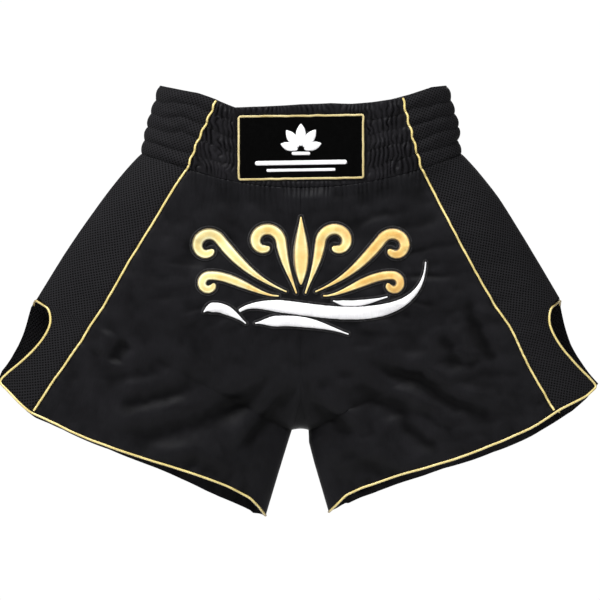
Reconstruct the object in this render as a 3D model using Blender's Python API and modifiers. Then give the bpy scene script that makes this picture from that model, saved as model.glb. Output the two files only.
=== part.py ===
"""Boxing shorts with a gathered elastic waistband, mesh side panels, cord piping and slit legs.

Units are metres, +Z is up, the wearer faces -Y and the wearer's left is +X.
The origin is the centre of the waist opening, level with the middle of its front edge.

Every cloth piece lies on one body surface, addressed by three numbers:
  row   0 top of the waistband, 1 its lower edge, 2 the leg crease, 3 the hem;
  reach 0 at the centre seam or the inseam, 1 at the side fold;
  face  FRONT or BACK.
Each leg swings about the straight crease line from the crotch to the top of the side slit.
"""
import math

import bmesh
import bpy
from mathutils import Matrix, Vector

FRONT = -1
BACK = 1
LEFT = 1
RIGHT = -1

# Waistband
WAIST_HALF_WIDTH = 0.166
WAIST_HALF_DEPTH = 0.040
WAIST_SIDE_RISE = 0.0193
BAND_HEIGHT = 0.0955
BAND_LOW_HALF_WIDTH = 0.182
BAND_LOW_SIDE_Z = -0.0565
BAND_SQUARENESS = 4.0
ELASTIC_ROWS = 5
ELASTIC_SHARE = 0.70

# Body and legs
HIP_HALF_DEPTH = 0.056
CREASE_SQUARENESS = 2.2
SIDE_BULGE = 0.0075
CROTCH_Z = -0.371
GUSSET_HALF_WIDTH = 0.0105
GUSSET_TOP_ROW = 1.87
RISE_TURN_ROW = 1.46
SLIT_TOP = (0.2985, -0.2206)
HEM_INSEAM = (0.039, -0.462)
HEM_CORNER = (0.3405, -0.313)
FRONT_SLIT_CUT = 0.0235
BACK_SLIT_CUT = 0.008
SLIT_SPREAD = 0.012
BACK_HEM_DROP = 0.010
SLIT_CORD_END_ROW = 2.062
SLIT_CORD_TOP_ROW = 2.040

# Side seams, as the reach of each key row
SEAM_REACH = (0.650, 0.739, 0.797, 0.861)

# Leg swing
SWING_FORWARD = math.radians(30.0)
SWING_BACK = math.radians(15.0)
CREASE_LENGTH_UPPER = 0.235
CREASE_LENGTH_LEG = 0.105

# Cloth and trim
CLOTH = 0.0008
ELASTIC_THICKNESS = 0.0012
ELASTIC_INSET = 0.0018
LINING_INSET = 0.0032
GAP = 0.0003
PIPING_RADIUS = 0.0014
PIPING_CLEARANCE = PIPING_RADIUS + GAP
PIPING_LIFT = 0.0006
CREASE_CLEARANCE = 0.0030

# Patch on the waistband
PATCH_WIDTH = 0.1432
PATCH_HEIGHT = 0.0734
PATCH_BORDER = 0.0027
PATCH_BASE_THICKNESS = 0.0010
PATCH_BORDER_THICKNESS = 0.0016
PATCH_MOTIF_THICKNESS = 0.0008
PATCH_Z = -0.0500

# Applique on the front
APPLIQUE_Z = -0.1757
BACKING_THICKNESS = 0.0008
BACKING_HALF_WIDTH = 0.1420
BACKING_COLUMNS = 20
BACKING_LIFT = CLOTH / 2 + GAP + BACKING_THICKNESS / 2 + 0.0002
STROKE_FLATNESS = 0.20
STROKE_WIDTH = 0.0118
SWELL_SHARE = 0.22
SWELL_END = 0.40
VOLUTE_STEPS = 12
TAIL_STEPS = 8
LEAF_STEPS = 14

# Resolution
BAND_COLUMNS = 6
PANEL_COLUMNS = 8
SIDE_COLUMNS = 4
BODY_ROWS = (1.0, 1.22, 1.44, 1.66, GUSSET_TOP_ROW)
LEG_STEPS = 4
FLAP_STEPS = 6
FLAP_COLUMNS = 4
SLIT_STEPS = 9

# Finishes: name, colour, roughness, metallic
SATIN = ("black_satin", (0.012, 0.012, 0.014), 0.38, 0.0)
MESH = ("black_mesh", (0.014, 0.014, 0.016), 0.75, 0.0)
GOLD = ("gold_piping", (0.66, 0.55, 0.30), 0.40, 0.0)
ELASTIC = ("elastic", (0.45, 0.44, 0.42), 0.85, 0.0)
PATCH = ("patch_black", (0.004, 0.004, 0.004), 0.60, 0.0)
WHITE = ("white_thread", (0.86, 0.86, 0.86), 0.60, 0.0)
GOLD_THREAD = ("gold_thread", (0.72, 0.55, 0.22), 0.45, 0.0)
FELT = ("applique_felt", (0.010, 0.010, 0.012), 0.90, 0.0)
LABEL = ("label_cloth", (0.80, 0.80, 0.78), 0.80, 0.0)
EYELET_METAL = ("eyelet_metal", (0.62, 0.61, 0.58), 0.35, 1.0)


def clear_scene():
    for item in list(bpy.data.objects):
        bpy.data.objects.remove(item, do_unlink=True)


def new_collection(name):
    collection = bpy.data.collections.new(name)
    bpy.context.scene.collection.children.link(collection)
    return collection


def material(spec):
    name, colour, roughness, metallic = spec
    if name in bpy.data.materials:
        return bpy.data.materials[name]
    made = bpy.data.materials.new(name)
    made.use_nodes = True
    shader = made.node_tree.nodes["Principled BSDF"]
    shader.inputs["Base Color"].default_value = (*colour, 1.0)
    shader.inputs["Roughness"].default_value = roughness
    shader.inputs["Metallic"].default_value = metallic
    return made


def place(item, look, collection, axis=None):
    """Give an object its own material, file it and hang it on its joint's empty."""
    own = material(look).copy()
    own.name = item.name
    item.data.materials.clear()
    item.data.materials.append(own)
    collection.objects.link(item)
    if axis:
        item.parent = axis
        item.matrix_parent_inverse = axis.matrix_world.inverted()
    return item


# ---------------------------------------------------------------- body surface

def lerp(a, b, t):
    return a + (b - a) * t


def clamp(t):
    return min(1.0, max(0.0, t))


def smooth(t):
    t = clamp(t)
    return t * t * (3 - 2 * t)


def inner_end(row):
    """(x, z) of a row's end at the centre seam, the gusset or the inseam."""
    if row <= 1:
        return 0.0, -BAND_HEIGHT * row
    if row <= 2:
        widening = clamp((row - GUSSET_TOP_ROW) / (2 - GUSSET_TOP_ROW))
        return GUSSET_HALF_WIDTH * widening, lerp(-BAND_HEIGHT, CROTCH_Z, row - 1)
    return (lerp(GUSSET_HALF_WIDTH, HEM_INSEAM[0], row - 2),
            lerp(CROTCH_Z, HEM_INSEAM[1], row - 2))


def outer_end(row):
    """(x, z) of a row's end at the side fold."""
    if row <= 1:
        return (lerp(WAIST_HALF_WIDTH, BAND_LOW_HALF_WIDTH, row),
                lerp(WAIST_SIDE_RISE, BAND_LOW_SIDE_Z, row))
    if row <= 2:
        t = row - 1
        bulge = SIDE_BULGE * math.sin(math.pi * t ** 0.7)
        return (lerp(BAND_LOW_HALF_WIDTH, SLIT_TOP[0], t) + bulge,
                lerp(BAND_LOW_SIDE_Z, SLIT_TOP[1], t))
    return (lerp(SLIT_TOP[0], HEM_CORNER[0], row - 2),
            lerp(SLIT_TOP[1], HEM_CORNER[1], row - 2))


def hem_drop(reach, row, face):
    """How far the curved hem hangs below the straight line between its ends."""
    if row <= 2:
        return 0.0
    wave = 0.012 * math.sin(math.pi * reach) - 0.0095 * math.sin(2 * math.pi * reach)
    if face == BACK:
        wave += BACK_HEM_DROP * smooth(reach / 0.12) * smooth((1 - reach) / 0.22)
    return wave * (row - 2) ** 1.5


def depth(reach, row):
    """Half thickness of the worn, slightly opened body at one place."""
    below = smooth(row - 1)
    half = lerp(WAIST_HALF_DEPTH, HIP_HALF_DEPTH, below)
    power = lerp(BAND_SQUARENESS, CREASE_SQUARENESS, below)
    spread = 1 - SLIT_SPREAD * clamp(row - 2)
    towards_side = max(0.0, 1 - (spread * reach) ** power)
    turn = clamp((row - RISE_TURN_ROW) / (2 - RISE_TURN_ROW))
    open_centre = 1 - turn * turn
    towards_centre = open_centre + (1 - open_centre) * (1 - (1 - reach) ** CREASE_SQUARENESS)
    return half * math.sqrt(towards_side * towards_centre)


def body_point(reach, row, face, inset=0.0):
    """A point of the +X half of the body surface."""
    inner_x, inner_z = inner_end(row)
    outer_x, outer_z = outer_end(row)
    bend = lerp(2.0, 1.0, clamp(row - 1))
    x = lerp(inner_x, outer_x, reach) * (1 - inset / outer_x)
    z = lerp(inner_z, outer_z, reach ** bend) - hem_drop(reach, row, face)
    y = face * depth(reach, row) * (1 - inset / WAIST_HALF_DEPTH)
    return Vector((x, y, z))


def seam_reach(row):
    key = min(2, int(row))
    return lerp(SEAM_REACH[key], SEAM_REACH[key + 1], row - key)


def row_length(row):
    inner = Vector(inner_end(row))
    return (Vector(outer_end(row)) - inner).length


def slit_reach(row, face):
    """Reach of the slit's edge: a teardrop cut, deeper in front than behind."""
    t = clamp(row - 2)
    if face == FRONT:
        cut = FRONT_SLIT_CUT * math.sin(math.pi * math.sqrt(t)) + 0.003 * t
    else:
        cut = BACK_SLIT_CUT * math.sin(math.pi * t)
    return 1 - cut / row_length(row)


def crease_gap(reach, face):
    """Clearance on each side of the crease line that lets the leg swing."""
    swing = SWING_FORWARD if face == FRONT else SWING_BACK
    return CREASE_CLEARANCE + depth(reach, 2.0) * math.tan(swing / 2)


def upper_end_row(reach, face):
    return 2 - crease_gap(reach, face) / CREASE_LENGTH_UPPER


def leg_start_row(reach, face):
    return 2 + crease_gap(reach, face) / CREASE_LENGTH_LEG


def panel_reach(part, row):
    """Column positions of the satin panels, closer together where the inseam turns."""
    start = GAP / 2 / row_length(row) if row < GUSSET_TOP_ROW else 0.0001
    if GUSSET_TOP_ROW <= row < 2:
        start = GAP / row_length(row)
    end = seam_reach(row) - PIPING_CLEARANCE / row_length(row)
    return lerp(start, end, part ** lerp(1.0, 1.7, clamp(row - 1)))


def side_reach(part, row):
    """Column positions of the mesh panels: part 1 at the piping, 0 at the side fold."""
    start = seam_reach(row) + PIPING_CLEARANCE / row_length(row)
    return 1 - (1 - start) * part * part


# ---------------------------------------------------------------- shape makers

def grid_object(name, rows, thickness, side=LEFT, ring=False):
    """A sheet through rows of points, thickened evenly on both sides."""
    mesh = bpy.data.meshes.new(name)
    build = bmesh.new()
    grid = []
    for points in rows:
        grid.append([build.verts.new((side * p.x, p.y, p.z)) for p in points])
    columns = len(rows[0])
    for upper, lower in zip(grid, grid[1:]):
        for i in range(columns if ring else columns - 1):
            j = (i + 1) % columns
            build.faces.new((upper[i], lower[i], lower[j], upper[j]))
    bmesh.ops.recalc_face_normals(build, faces=build.faces)
    build.to_mesh(mesh)
    build.free()
    item = bpy.data.objects.new(name, mesh)
    thicken = item.modifiers.new("Cloth thickness", "SOLIDIFY")
    thicken.thickness = thickness
    thicken.offset = 0
    return item


def tube_object(name, points, radius, closed=False, radii=None, flatness=1.0):
    """A round cord, or a flattened ribbon where flatness is under 1."""
    curve = bpy.data.curves.new(name, "CURVE")
    curve.dimensions = "3D"
    curve.bevel_depth = radius
    curve.bevel_resolution = 2
    curve.use_fill_caps = not closed
    spline = curve.splines.new("POLY")
    spline.points.add(len(points) - 1)
    for index, (knot, point) in enumerate(zip(spline.points, points)):
        knot.co = (point.x, point.y / flatness, point.z, 1.0)
        knot.radius = radii[index] if radii else 1.0
    spline.use_cyclic_u = closed
    item = bpy.data.objects.new(name, curve)
    item.scale = (1.0, flatness, 1.0)
    return item


def plate_object(name, outlines, thickness, location):
    """A flat upright plate from 2D outlines; a second outline is a hole."""
    curve = bpy.data.curves.new(name, "CURVE")
    curve.dimensions = "2D"
    curve.fill_mode = "BOTH"
    curve.extrude = thickness / 2
    for outline in outlines:
        spline = curve.splines.new("POLY")
        spline.points.add(len(outline) - 1)
        for knot, (x, y) in zip(spline.points, outline):
            knot.co = (x, y, 0.0, 1.0)
        spline.use_cyclic_u = True
    item = bpy.data.objects.new(name, curve)
    item.rotation_euler = (math.pi / 2, 0.0, 0.0)
    item.location = location
    return item


def rectangle(width, height):
    x = width / 2
    y = height / 2
    return [(-x, -y), (x, -y), (x, y), (-x, y)]


def side_name(side):
    return "left" if side == LEFT else "right"


def face_name(face):
    return "front" if face == FRONT else "back"


# ---------------------------------------------------------------- waistband

def quarter_reaches(row):
    """Shared column positions from the centre to the side fold of the waistband."""
    seam = seam_reach(row)
    inward = [seam * i / BAND_COLUMNS for i in range(BAND_COLUMNS + 1)]
    outward = [1 - (1 - seam) * (1 - i / SIDE_COLUMNS) ** 2 for i in range(1, SIDE_COLUMNS + 1)]
    return inward + outward


def waist_ring(row, inset):
    """The closed line around the waist at one row."""
    reaches = quarter_reaches(row)
    ring = [body_point(r, row, FRONT, inset) for r in reaches]
    ring += [body_point(r, row, BACK, inset) for r in reversed(reaches[:-1])]
    mirrored = [Vector((-p.x, p.y, p.z)) for p in reversed(ring[1:-1])]
    return ring + mirrored


def waistband_face(face, parts):
    """The gathered satin stretch between the two pipings."""
    rows = []
    for row in (0.0, 0.5, 1.0 - GAP / BAND_HEIGHT):
        reaches = quarter_reaches(row)[:BAND_COLUMNS]
        reaches.append(seam_reach(row) - PIPING_CLEARANCE / row_length(row))
        half = [body_point(r, row, face, CLOTH / 2) for r in reaches]
        rows.append([Vector((-p.x, p.y, p.z)) for p in reversed(half[1:])] + half)
    item = grid_object("waistband_" + face_name(face), rows, CLOTH)
    place(item, SATIN, parts)


def side_columns(row):
    """Points from the front piping around the side fold to the back piping."""
    marks = [1 - i / SIDE_COLUMNS for i in range(SIDE_COLUMNS + 1)]
    around = [(FRONT, mark) for mark in marks] + [(BACK, mark) for mark in reversed(marks[:-1])]
    return [(face, side_reach(mark, row)) for face, mark in around]


def waistband_side(side, parts):
    rows = []
    for row in (0.0, 0.5, 1.0 - GAP / BAND_HEIGHT):
        rows.append([body_point(r, row, face, CLOTH / 2) for face, r in side_columns(row)])
    item = grid_object("waistband_side_" + side_name(side), rows, CLOTH, side)
    place(item, MESH, parts)


def elastics(parts):
    for index in range(ELASTIC_ROWS):
        margin = (1 - ELASTIC_SHARE) / 2
        limits = ((index + margin) / ELASTIC_ROWS, (index + 1 - margin) / ELASTIC_ROWS)
        rows = [waist_ring(row, ELASTIC_INSET) for row in limits]
        item = grid_object(f"elastic_{index + 1}", rows, ELASTIC_THICKNESS, ring=True)
        place(item, ELASTIC, parts)


LABEL_SIZE = (0.032, 0.0005, 0.044)
LABEL_Z = -0.034
EYELET_ROW = 0.6
EYELET_X = 0.014
EYELET_HOLE_RADIUS = 0.0020
EYELET_RING_RADIUS = 0.0032
EYELET_WIRE = 0.0007


def eyelet_centre(side):
    inside = -WAIST_HALF_DEPTH + LINING_INSET + CLOTH / 2
    return Vector((side * EYELET_X, inside, -EYELET_ROW * BAND_HEIGHT))


def lining(parts, cutters):
    """The inner face of the casing, with two cord holes between elastic rows."""
    rows = [waist_ring(row, LINING_INSET) for row in (0.012, 0.5, 0.985)]
    item = grid_object("waistband_lining", rows, CLOTH, ring=True)
    for side in (LEFT, RIGHT):
        bpy.ops.mesh.primitive_cylinder_add(vertices=12, radius=EYELET_HOLE_RADIUS, depth=0.006,
                                            location=eyelet_centre(side),
                                            rotation=(math.pi / 2, 0.0, 0.0))
        cutter = bpy.context.active_object
        cutter.name = "cutter_eyelet_" + side_name(side)
        cutter.hide_render = True
        cutter.display_type = "WIRE"
        for user in list(cutter.users_collection):
            user.objects.unlink(cutter)
        cutters.objects.link(cutter)
        cut = item.modifiers.new("Cord hole", "BOOLEAN")
        cut.operation = "DIFFERENCE"
        cut.object = cutter
    place(item, SATIN, parts)


def eyelet(side, parts):
    bpy.ops.mesh.primitive_torus_add(major_segments=14, minor_segments=6,
                                     major_radius=EYELET_RING_RADIUS, minor_radius=EYELET_WIRE,
                                     rotation=(math.pi / 2, 0.0, 0.0))
    item = bpy.context.active_object
    item.name = "eyelet_" + side_name(side)
    item.location = eyelet_centre(side) + Vector((0.0, EYELET_WIRE + GAP, 0.0))
    for user in list(item.users_collection):
        user.objects.unlink(item)
    item.data.shade_smooth()
    place(item, EYELET_METAL, parts)


def care_label(parts):
    """A blank label sewn inside the back of the waistband."""
    bpy.ops.mesh.primitive_cube_add(size=1.0)
    item = bpy.context.active_object
    item.name = "care_label"
    inside = WAIST_HALF_DEPTH - LINING_INSET - CLOTH / 2 - GAP
    item.data.transform(Matrix.Diagonal((*LABEL_SIZE, 1.0)))
    item.location = (0.0, inside - LABEL_SIZE[1], LABEL_Z)
    for user in list(item.users_collection):
        user.objects.unlink(item)
    place(item, LABEL, parts)


# ---------------------------------------------------------------- patch

def lotus_outline(radius, petals=5):
    """A fan of pointed petals standing on a flat foot."""
    outline = []
    steps = 6
    for petal in range(petals):
        start = math.pi * petal / petals
        for step in range(steps):
            t = step / steps
            angle = start + math.pi / petals * t
            reach = 0.55 + 0.45 * math.sin(math.pi * t) ** 0.8
            lean = 0.72 + 0.28 * math.sin(angle)
            outline.append((radius * reach * lean * math.cos(angle),
                            radius * reach * lean * math.sin(angle)))
    outline.append((-radius * 0.40, 0.0))
    outline.append((-radius * 0.28, -radius * 0.20))
    outline.append((radius * 0.28, -radius * 0.20))
    return outline


def patch(parts):
    """A black patch with a sewn border and a plain flower motif over two bars."""
    face = -WAIST_HALF_DEPTH - GAP
    inner = rectangle(PATCH_WIDTH - 2 * PATCH_BORDER, PATCH_HEIGHT - 2 * PATCH_BORDER)
    base_outline = rectangle(PATCH_WIDTH - 2 * (PATCH_BORDER + GAP),
                             PATCH_HEIGHT - 2 * (PATCH_BORDER + GAP))
    base_y = face - PATCH_BASE_THICKNESS / 2
    base = plate_object("patch_base", [base_outline], PATCH_BASE_THICKNESS, (0, base_y, PATCH_Z))
    place(base, PATCH, parts)
    border_y = face - PATCH_BORDER_THICKNESS / 2
    border = plate_object("patch_border", [rectangle(PATCH_WIDTH, PATCH_HEIGHT), inner],
                          PATCH_BORDER_THICKNESS, (0, border_y, PATCH_Z))
    place(border, GOLD_THREAD, parts)
    motif_y = face - PATCH_BASE_THICKNESS - GAP - PATCH_MOTIF_THICKNESS / 2
    motif = plate_object("patch_motif", [lotus_outline(0.030)], PATCH_MOTIF_THICKNESS,
                         (0, motif_y, PATCH_Z - 0.0035))
    place(motif, WHITE, parts)
    for name, width, height, drop in (("patch_bar_upper", 0.104, 0.0050, 0.0175),
                                      ("patch_bar_lower", 0.078, 0.0032, 0.0258)):
        bar = plate_object(name, [rectangle(width, height)], PATCH_MOTIF_THICKNESS,
                           (0, motif_y, PATCH_Z - drop))
        place(bar, WHITE, parts)


# ---------------------------------------------------------------- panels and legs

def body_panel(face, side, parts):
    """Satin from the waistband down to the crease, between centre seam and piping."""
    rows = []
    marks = [i / PANEL_COLUMNS for i in range(PANEL_COLUMNS + 1)]
    for index, row in enumerate(BODY_ROWS + (2.0,)):
        points = []
        for mark in marks:
            level = row
            if index == 0:
                level = 1 + GAP / BAND_HEIGHT
            if row == 2.0:
                level = upper_end_row(panel_reach(mark, 1.97), face)
            points.append(body_point(panel_reach(mark, level), level, face))
        rows.append(points)
    item = grid_object(f"{face_name(face)}_panel_{side_name(side)}", rows, CLOTH, side)
    place(item, SATIN, parts)


def side_panel(side, parts):
    """Mesh that wraps the hip from piping to piping and ends at the crease."""
    rows = []
    for index, row in enumerate(BODY_ROWS + (2.0,)):
        points = []
        for face, reach in side_columns(row):
            level = row
            if index == 0:
                level = 1 + GAP / BAND_HEIGHT
            if row == 2.0:
                level = upper_end_row(reach, face)
            points.append(body_point(reach, level, face))
        rows.append(points)
    item = grid_object("side_panel_" + side_name(side), rows, CLOTH, side)
    place(item, MESH, parts)


def hem_row(reach):
    """The last row of a leg piece, just above the hem cord."""
    return 3 - PIPING_CLEARANCE / (CREASE_LENGTH_LEG * lerp(0.92, 0.98, reach))


def leg_panel(face, side, parts, axis):
    rows = []
    marks = [i / PANEL_COLUMNS for i in range(PANEL_COLUMNS + 1)]
    for step in range(LEG_STEPS + 1):
        points = []
        for mark in marks:
            reach = panel_reach(mark, 2.0)
            level = lerp(leg_start_row(reach, face), hem_row(reach), step / LEG_STEPS)
            points.append(body_point(panel_reach(mark, level), level, face))
        rows.append(points)
    item = grid_object(f"{face_name(face)}_leg_{side_name(side)}", rows, CLOTH, side)
    place(item, SATIN, parts, axis)


def crease_panel(face, side, parts, axis):
    """The stretch of satin that bends between the body panel and the leg panel."""
    rows = []
    marks = [i / PANEL_COLUMNS for i in range(PANEL_COLUMNS + 1)]
    for step in (0.0, 0.5, 1.0):
        points = []
        for mark in marks:
            reach = panel_reach(mark, 2.0)
            top = upper_end_row(reach, face) + 2 * GAP / CREASE_LENGTH_UPPER
            low = leg_start_row(reach, face) - 2 * GAP / CREASE_LENGTH_LEG
            level = lerp(top, low, step)
            points.append(body_point(panel_reach(mark, level), level, face))
        rows.append(points)
    item = grid_object(f"{face_name(face)}_crease_{side_name(side)}", rows, CLOTH, side)
    place(item, SATIN, parts, axis)


def flap_reach(mark, row, face):
    """Columns of a mesh leg flap, from the piping to the slit's cord."""
    start = seam_reach(row) + PIPING_CLEARANCE / row_length(row)
    end = slit_reach(row, face) - 1.8 * PIPING_CLEARANCE / row_length(row)
    return lerp(start, end, mark)


def leg_flap(face, side, parts, axis):
    rows = []
    for step in range(FLAP_STEPS + 1):
        points = []
        for index in range(FLAP_COLUMNS + 1):
            mark = index / FLAP_COLUMNS
            start = leg_start_row(flap_reach(mark, 2.0, face), face) + 0.02
            end = hem_row(1.0) - 0.012 * mark
            level = lerp(start, end, (step / FLAP_STEPS) ** 1.3)
            points.append(body_point(flap_reach(mark, level, face), level, face))
        rows.append(points)
    item = grid_object(f"{face_name(face)}_flap_{side_name(side)}", rows, CLOTH, side)
    place(item, MESH, parts, axis)


def upper_piping(face, side, parts):
    """The cord in the side seam, from the waist edge down to the crease."""
    end = upper_end_row(seam_reach(2.0), face)
    rows = (0.0, 0.5, 1.0) + BODY_ROWS[1:] + (end,)
    points = [body_point(seam_reach(row), row, face, -PIPING_LIFT) for row in rows]
    points = [Vector((side * p.x, p.y, p.z)) for p in points]
    item = tube_object(f"{face_name(face)}_piping_{side_name(side)}", points, PIPING_RADIUS)
    place(item, GOLD, parts)


def leg_piping(face, side, parts, axis):
    start = leg_start_row(seam_reach(2.0), face)
    end = 3 - (2 * PIPING_CLEARANCE + GAP) / CREASE_LENGTH_LEG
    points = []
    for step in range(LEG_STEPS + 1):
        row = lerp(start, end, step / LEG_STEPS)
        p = body_point(seam_reach(row), row, face, -PIPING_LIFT)
        points.append(Vector((side * p.x, p.y, p.z)))
    item = tube_object(f"{face_name(face)}_leg_piping_{side_name(side)}", points, PIPING_RADIUS)
    place(item, GOLD, parts, axis)


def hem_half(face):
    """Hem cord points of one face, from the inseam out to the corner and up the slit."""
    marks = [i / PANEL_COLUMNS for i in range(PANEL_COLUMNS + 1)]
    reaches = [panel_reach(mark, 3.0) for mark in marks]
    reaches += [flap_reach(i / FLAP_COLUMNS, 3.0, face) for i in range(FLAP_COLUMNS + 1)]
    points = [body_point(reach, 3.0, face) for reach in reaches]
    for step in range(SLIT_STEPS):
        row = lerp(2.95, SLIT_CORD_END_ROW, (step / (SLIT_STEPS - 1)) ** 0.75)
        points.append(body_point(slit_reach(row, face), row, face))
    return points


def hem_cord(side, parts, axis):
    """One closed cord around the leg's hem and both edges of its side slit."""
    front = hem_half(FRONT)
    back = hem_half(BACK)
    top = body_point(1.0, SLIT_CORD_TOP_ROW, FRONT)
    top.y = 0.0
    loop = front + [top] + list(reversed(back))
    points = [Vector((side * p.x, p.y, p.z)) for p in loop]
    item = tube_object("hem_cord_" + side_name(side), points, PIPING_RADIUS, closed=True)
    place(item, GOLD, parts, axis)


def gusset(parts):
    """The small diamond between the four panels at the crotch."""
    levels = [lerp(GUSSET_TOP_ROW + 0.012, 2.0, t) for t in (0.0, 0.35, 0.7, 1.0)]
    path = [(FRONT, row) for row in levels] + [(BACK, row) for row in reversed(levels[:-1])]
    rows = []
    for face, row in path:
        edge = body_point(0.0, row, face)
        half = edge.x - 2 * GAP
        rows.append([Vector((half * t, edge.y, edge.z)) for t in (-1.0, 0.0, 1.0)])
    item = grid_object("crotch_gusset", rows, CLOTH)
    place(item, SATIN, parts)


# ---------------------------------------------------------------- applique

def front_depth(x, z):
    """Depth of the front surface at a place between waistband and crease."""
    low = 1.0
    high = 2.0
    for _ in range(30):
        row = (low + high) / 2
        inner_x, inner_z = inner_end(row)
        outer_x, outer_z = outer_end(row)
        reach = max(0.0, (abs(x) - inner_x) / (outer_x - inner_x))
        level = lerp(inner_z, outer_z, reach ** lerp(2.0, 1.0, row - 1))
        if level > z:
            low = row
        else:
            high = row
    return depth(reach, row)


def on_front(x, z, lift):
    """A point lifted off the front, from applique coordinates."""
    z = APPLIQUE_Z + z
    return Vector((x, -front_depth(x, z) - lift, z))


def bezier(points, t):
    while len(points) > 1:
        points = [a.lerp(b, t) for a, b in zip(points, points[1:])]
    return points[0]


def scroll_path(centre, radii, sweep, tip, pull, swell):
    """A volute that opens from its eye, then a tail that runs out to the tip."""
    centre = Vector(centre)
    tip = Vector(tip)
    path = []
    for step in range(VOLUTE_STEPS + 1):
        t = step / VOLUTE_STEPS
        angle = math.radians(sweep[0] + sweep[1] * t)
        radius = lerp(*radii, t ** 0.8)
        path.append(centre + radius * Vector((math.cos(angle), math.sin(angle))))
    heading = (path[-1] - path[-2]).normalized()
    reach = (tip - path[-1]).length
    knots = [path[-1], path[-1] + heading * reach * swell, tip + Vector(pull), tip]
    for step in range(1, TAIL_STEPS + 1):
        path.append(bezier(knots, step / TAIL_STEPS))
    return path


# Volute centre, its radii, start angle and turn, tip, pull before the tip, swell of the tail;
# then the widths at the start, middle and end, and where the end begins to fade.
SCROLLS = {
    "scroll_inner": (((0.0400, 0.0180), (0.0052, 0.0178), (-125, 305), (0.0050, -0.0400),
                      (0.0070, 0.0210), 0.45), (0.80, 1.10, 0.18, 0.50)),
    "scroll_upper": (((0.1055, 0.0130), (0.0052, 0.0162), (-150, 300), (0.0160, -0.0380),
                      (0.0280, 0.0120), 0.45), (0.80, 1.10, 0.15, 0.45)),
    "scroll_lower": (((0.1040, -0.0290), (0.0040, 0.0096), (-185, 280), (0.0250, -0.0425),
                      (0.0220, -0.0010), 0.32), (0.74, 0.90, 0.15, 0.50)),
}
BUD_ENDS = (-0.030, 0.047)
BUD_STEPS = 12

# Bezier knots, then the widths as for the scrolls.
FLOURISHES = {
    "flourish_sweep": (((-0.070, -0.060), (-0.040, -0.036), (0.040, -0.078), (0.140, -0.078),
                        (0.141, -0.004)), (0.30, 1.20, 0.12, 0.60)),
    "flourish_leaf_lower": (((-0.052, -0.0735), (-0.010, -0.0675), (0.014, -0.0715),
                             (0.054, -0.086)), (0.12, 1.00, 0.12, 0.45)),
    "flourish_leaf_left": (((-0.110, -0.061), (-0.100, -0.050), (-0.082, -0.056),
                            (-0.062, -0.074)), (0.12, 0.90, 0.12, 0.45)),
    "flourish_leaf_upper": (((0.036, -0.0480), (0.054, -0.0545), (0.076, -0.0500),
                             (0.098, -0.0435)), (0.12, 0.56, 0.12, 0.45)),
}


def stroke_radii(path, start, middle, end, fade):
    """Relative half widths along a stroke: it swells, holds, then draws out to its tip."""
    lengths = [0.0]
    for a, b in zip(path, path[1:]):
        lengths.append(lengths[-1] + (b - a).length)
    radii = []
    for length in lengths:
        t = length / lengths[-1]
        if t < SWELL_END:
            radii.append(lerp(start, middle, smooth(t / SWELL_SHARE)))
        else:
            radii.append(lerp(middle, end, smooth((t - fade) / (1 - fade))))
    return radii


def stroke(name, path, radii, look, parts, side=LEFT):
    """A padded, satin-stitched ribbon laid on the backing along its path."""
    thickest = STROKE_FLATNESS * max(radii) * STROKE_WIDTH / 2
    lift = BACKING_LIFT + BACKING_THICKNESS / 2 + 2 * GAP + thickest
    points = [on_front(side * p.x, p.y, lift) for p in path]
    item = tube_object(name, points, STROKE_WIDTH / 2, radii=radii, flatness=STROKE_FLATNESS)
    place(item, look, parts)


def scrollwork(parts):
    for name, (shape, widths) in SCROLLS.items():
        path = scroll_path(*shape)
        for side in (LEFT, RIGHT):
            radii = stroke_radii(path, *widths)
            stroke(f"{name}_{side_name(side)}", path, radii, GOLD_THREAD, parts, side)
    marks = [step / BUD_STEPS for step in range(BUD_STEPS + 1)]
    bud = [Vector((0.0, lerp(*BUD_ENDS, mark))) for mark in marks]
    radii = [0.15 + 1.40 * math.sin(math.pi * mark ** 0.8) ** 1.2 for mark in marks]
    stroke("scroll_bud", bud, radii, GOLD_THREAD, parts)


def flourishes(parts):
    for name, (knots, widths) in FLOURISHES.items():
        knots = [Vector(knot) for knot in knots]
        path = [bezier(knots, step / LEAF_STEPS) for step in range(LEAF_STEPS + 1)]
        stroke(name, path, stroke_radii(path, *widths), WHITE, parts)


def backing(parts):
    """The dark felt layer behind the scrolls, a shaped band across the front."""
    rows = []
    for level in (0.0, 0.25, 0.5, 0.75, 1.0):
        points = []
        for index in range(BACKING_COLUMNS + 1):
            t = lerp(-1.0, 1.0, index / BACKING_COLUMNS)
            x = BACKING_HALF_WIDTH * t + (0.003 if t > 0 else 0.0) * t
            top = 0.050 - 0.020 * t * t
            low = -0.092 + 0.020 * abs(t) ** 3 + (0.062 if t > 0 else 0.030) * abs(t) ** 6
            points.append(on_front(x, lerp(top, low, level), BACKING_LIFT))
        rows.append(points)
    item = grid_object("applique_backing", rows, BACKING_THICKNESS)
    place(item, FELT, parts)


# ---------------------------------------------------------------- assembly

def leg_axis(side, parts):
    """An empty on the crease line that the whole leg hangs from."""
    axis = bpy.data.objects.new(side_name(side) + "_leg_axis", None)
    middle = (Vector(inner_end(2.0)) + Vector(outer_end(2.0))) / 2
    axis.location = (side * middle.x, 0.0, middle.y)
    parts.objects.link(axis)
    bpy.context.view_layer.update()
    return axis


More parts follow.
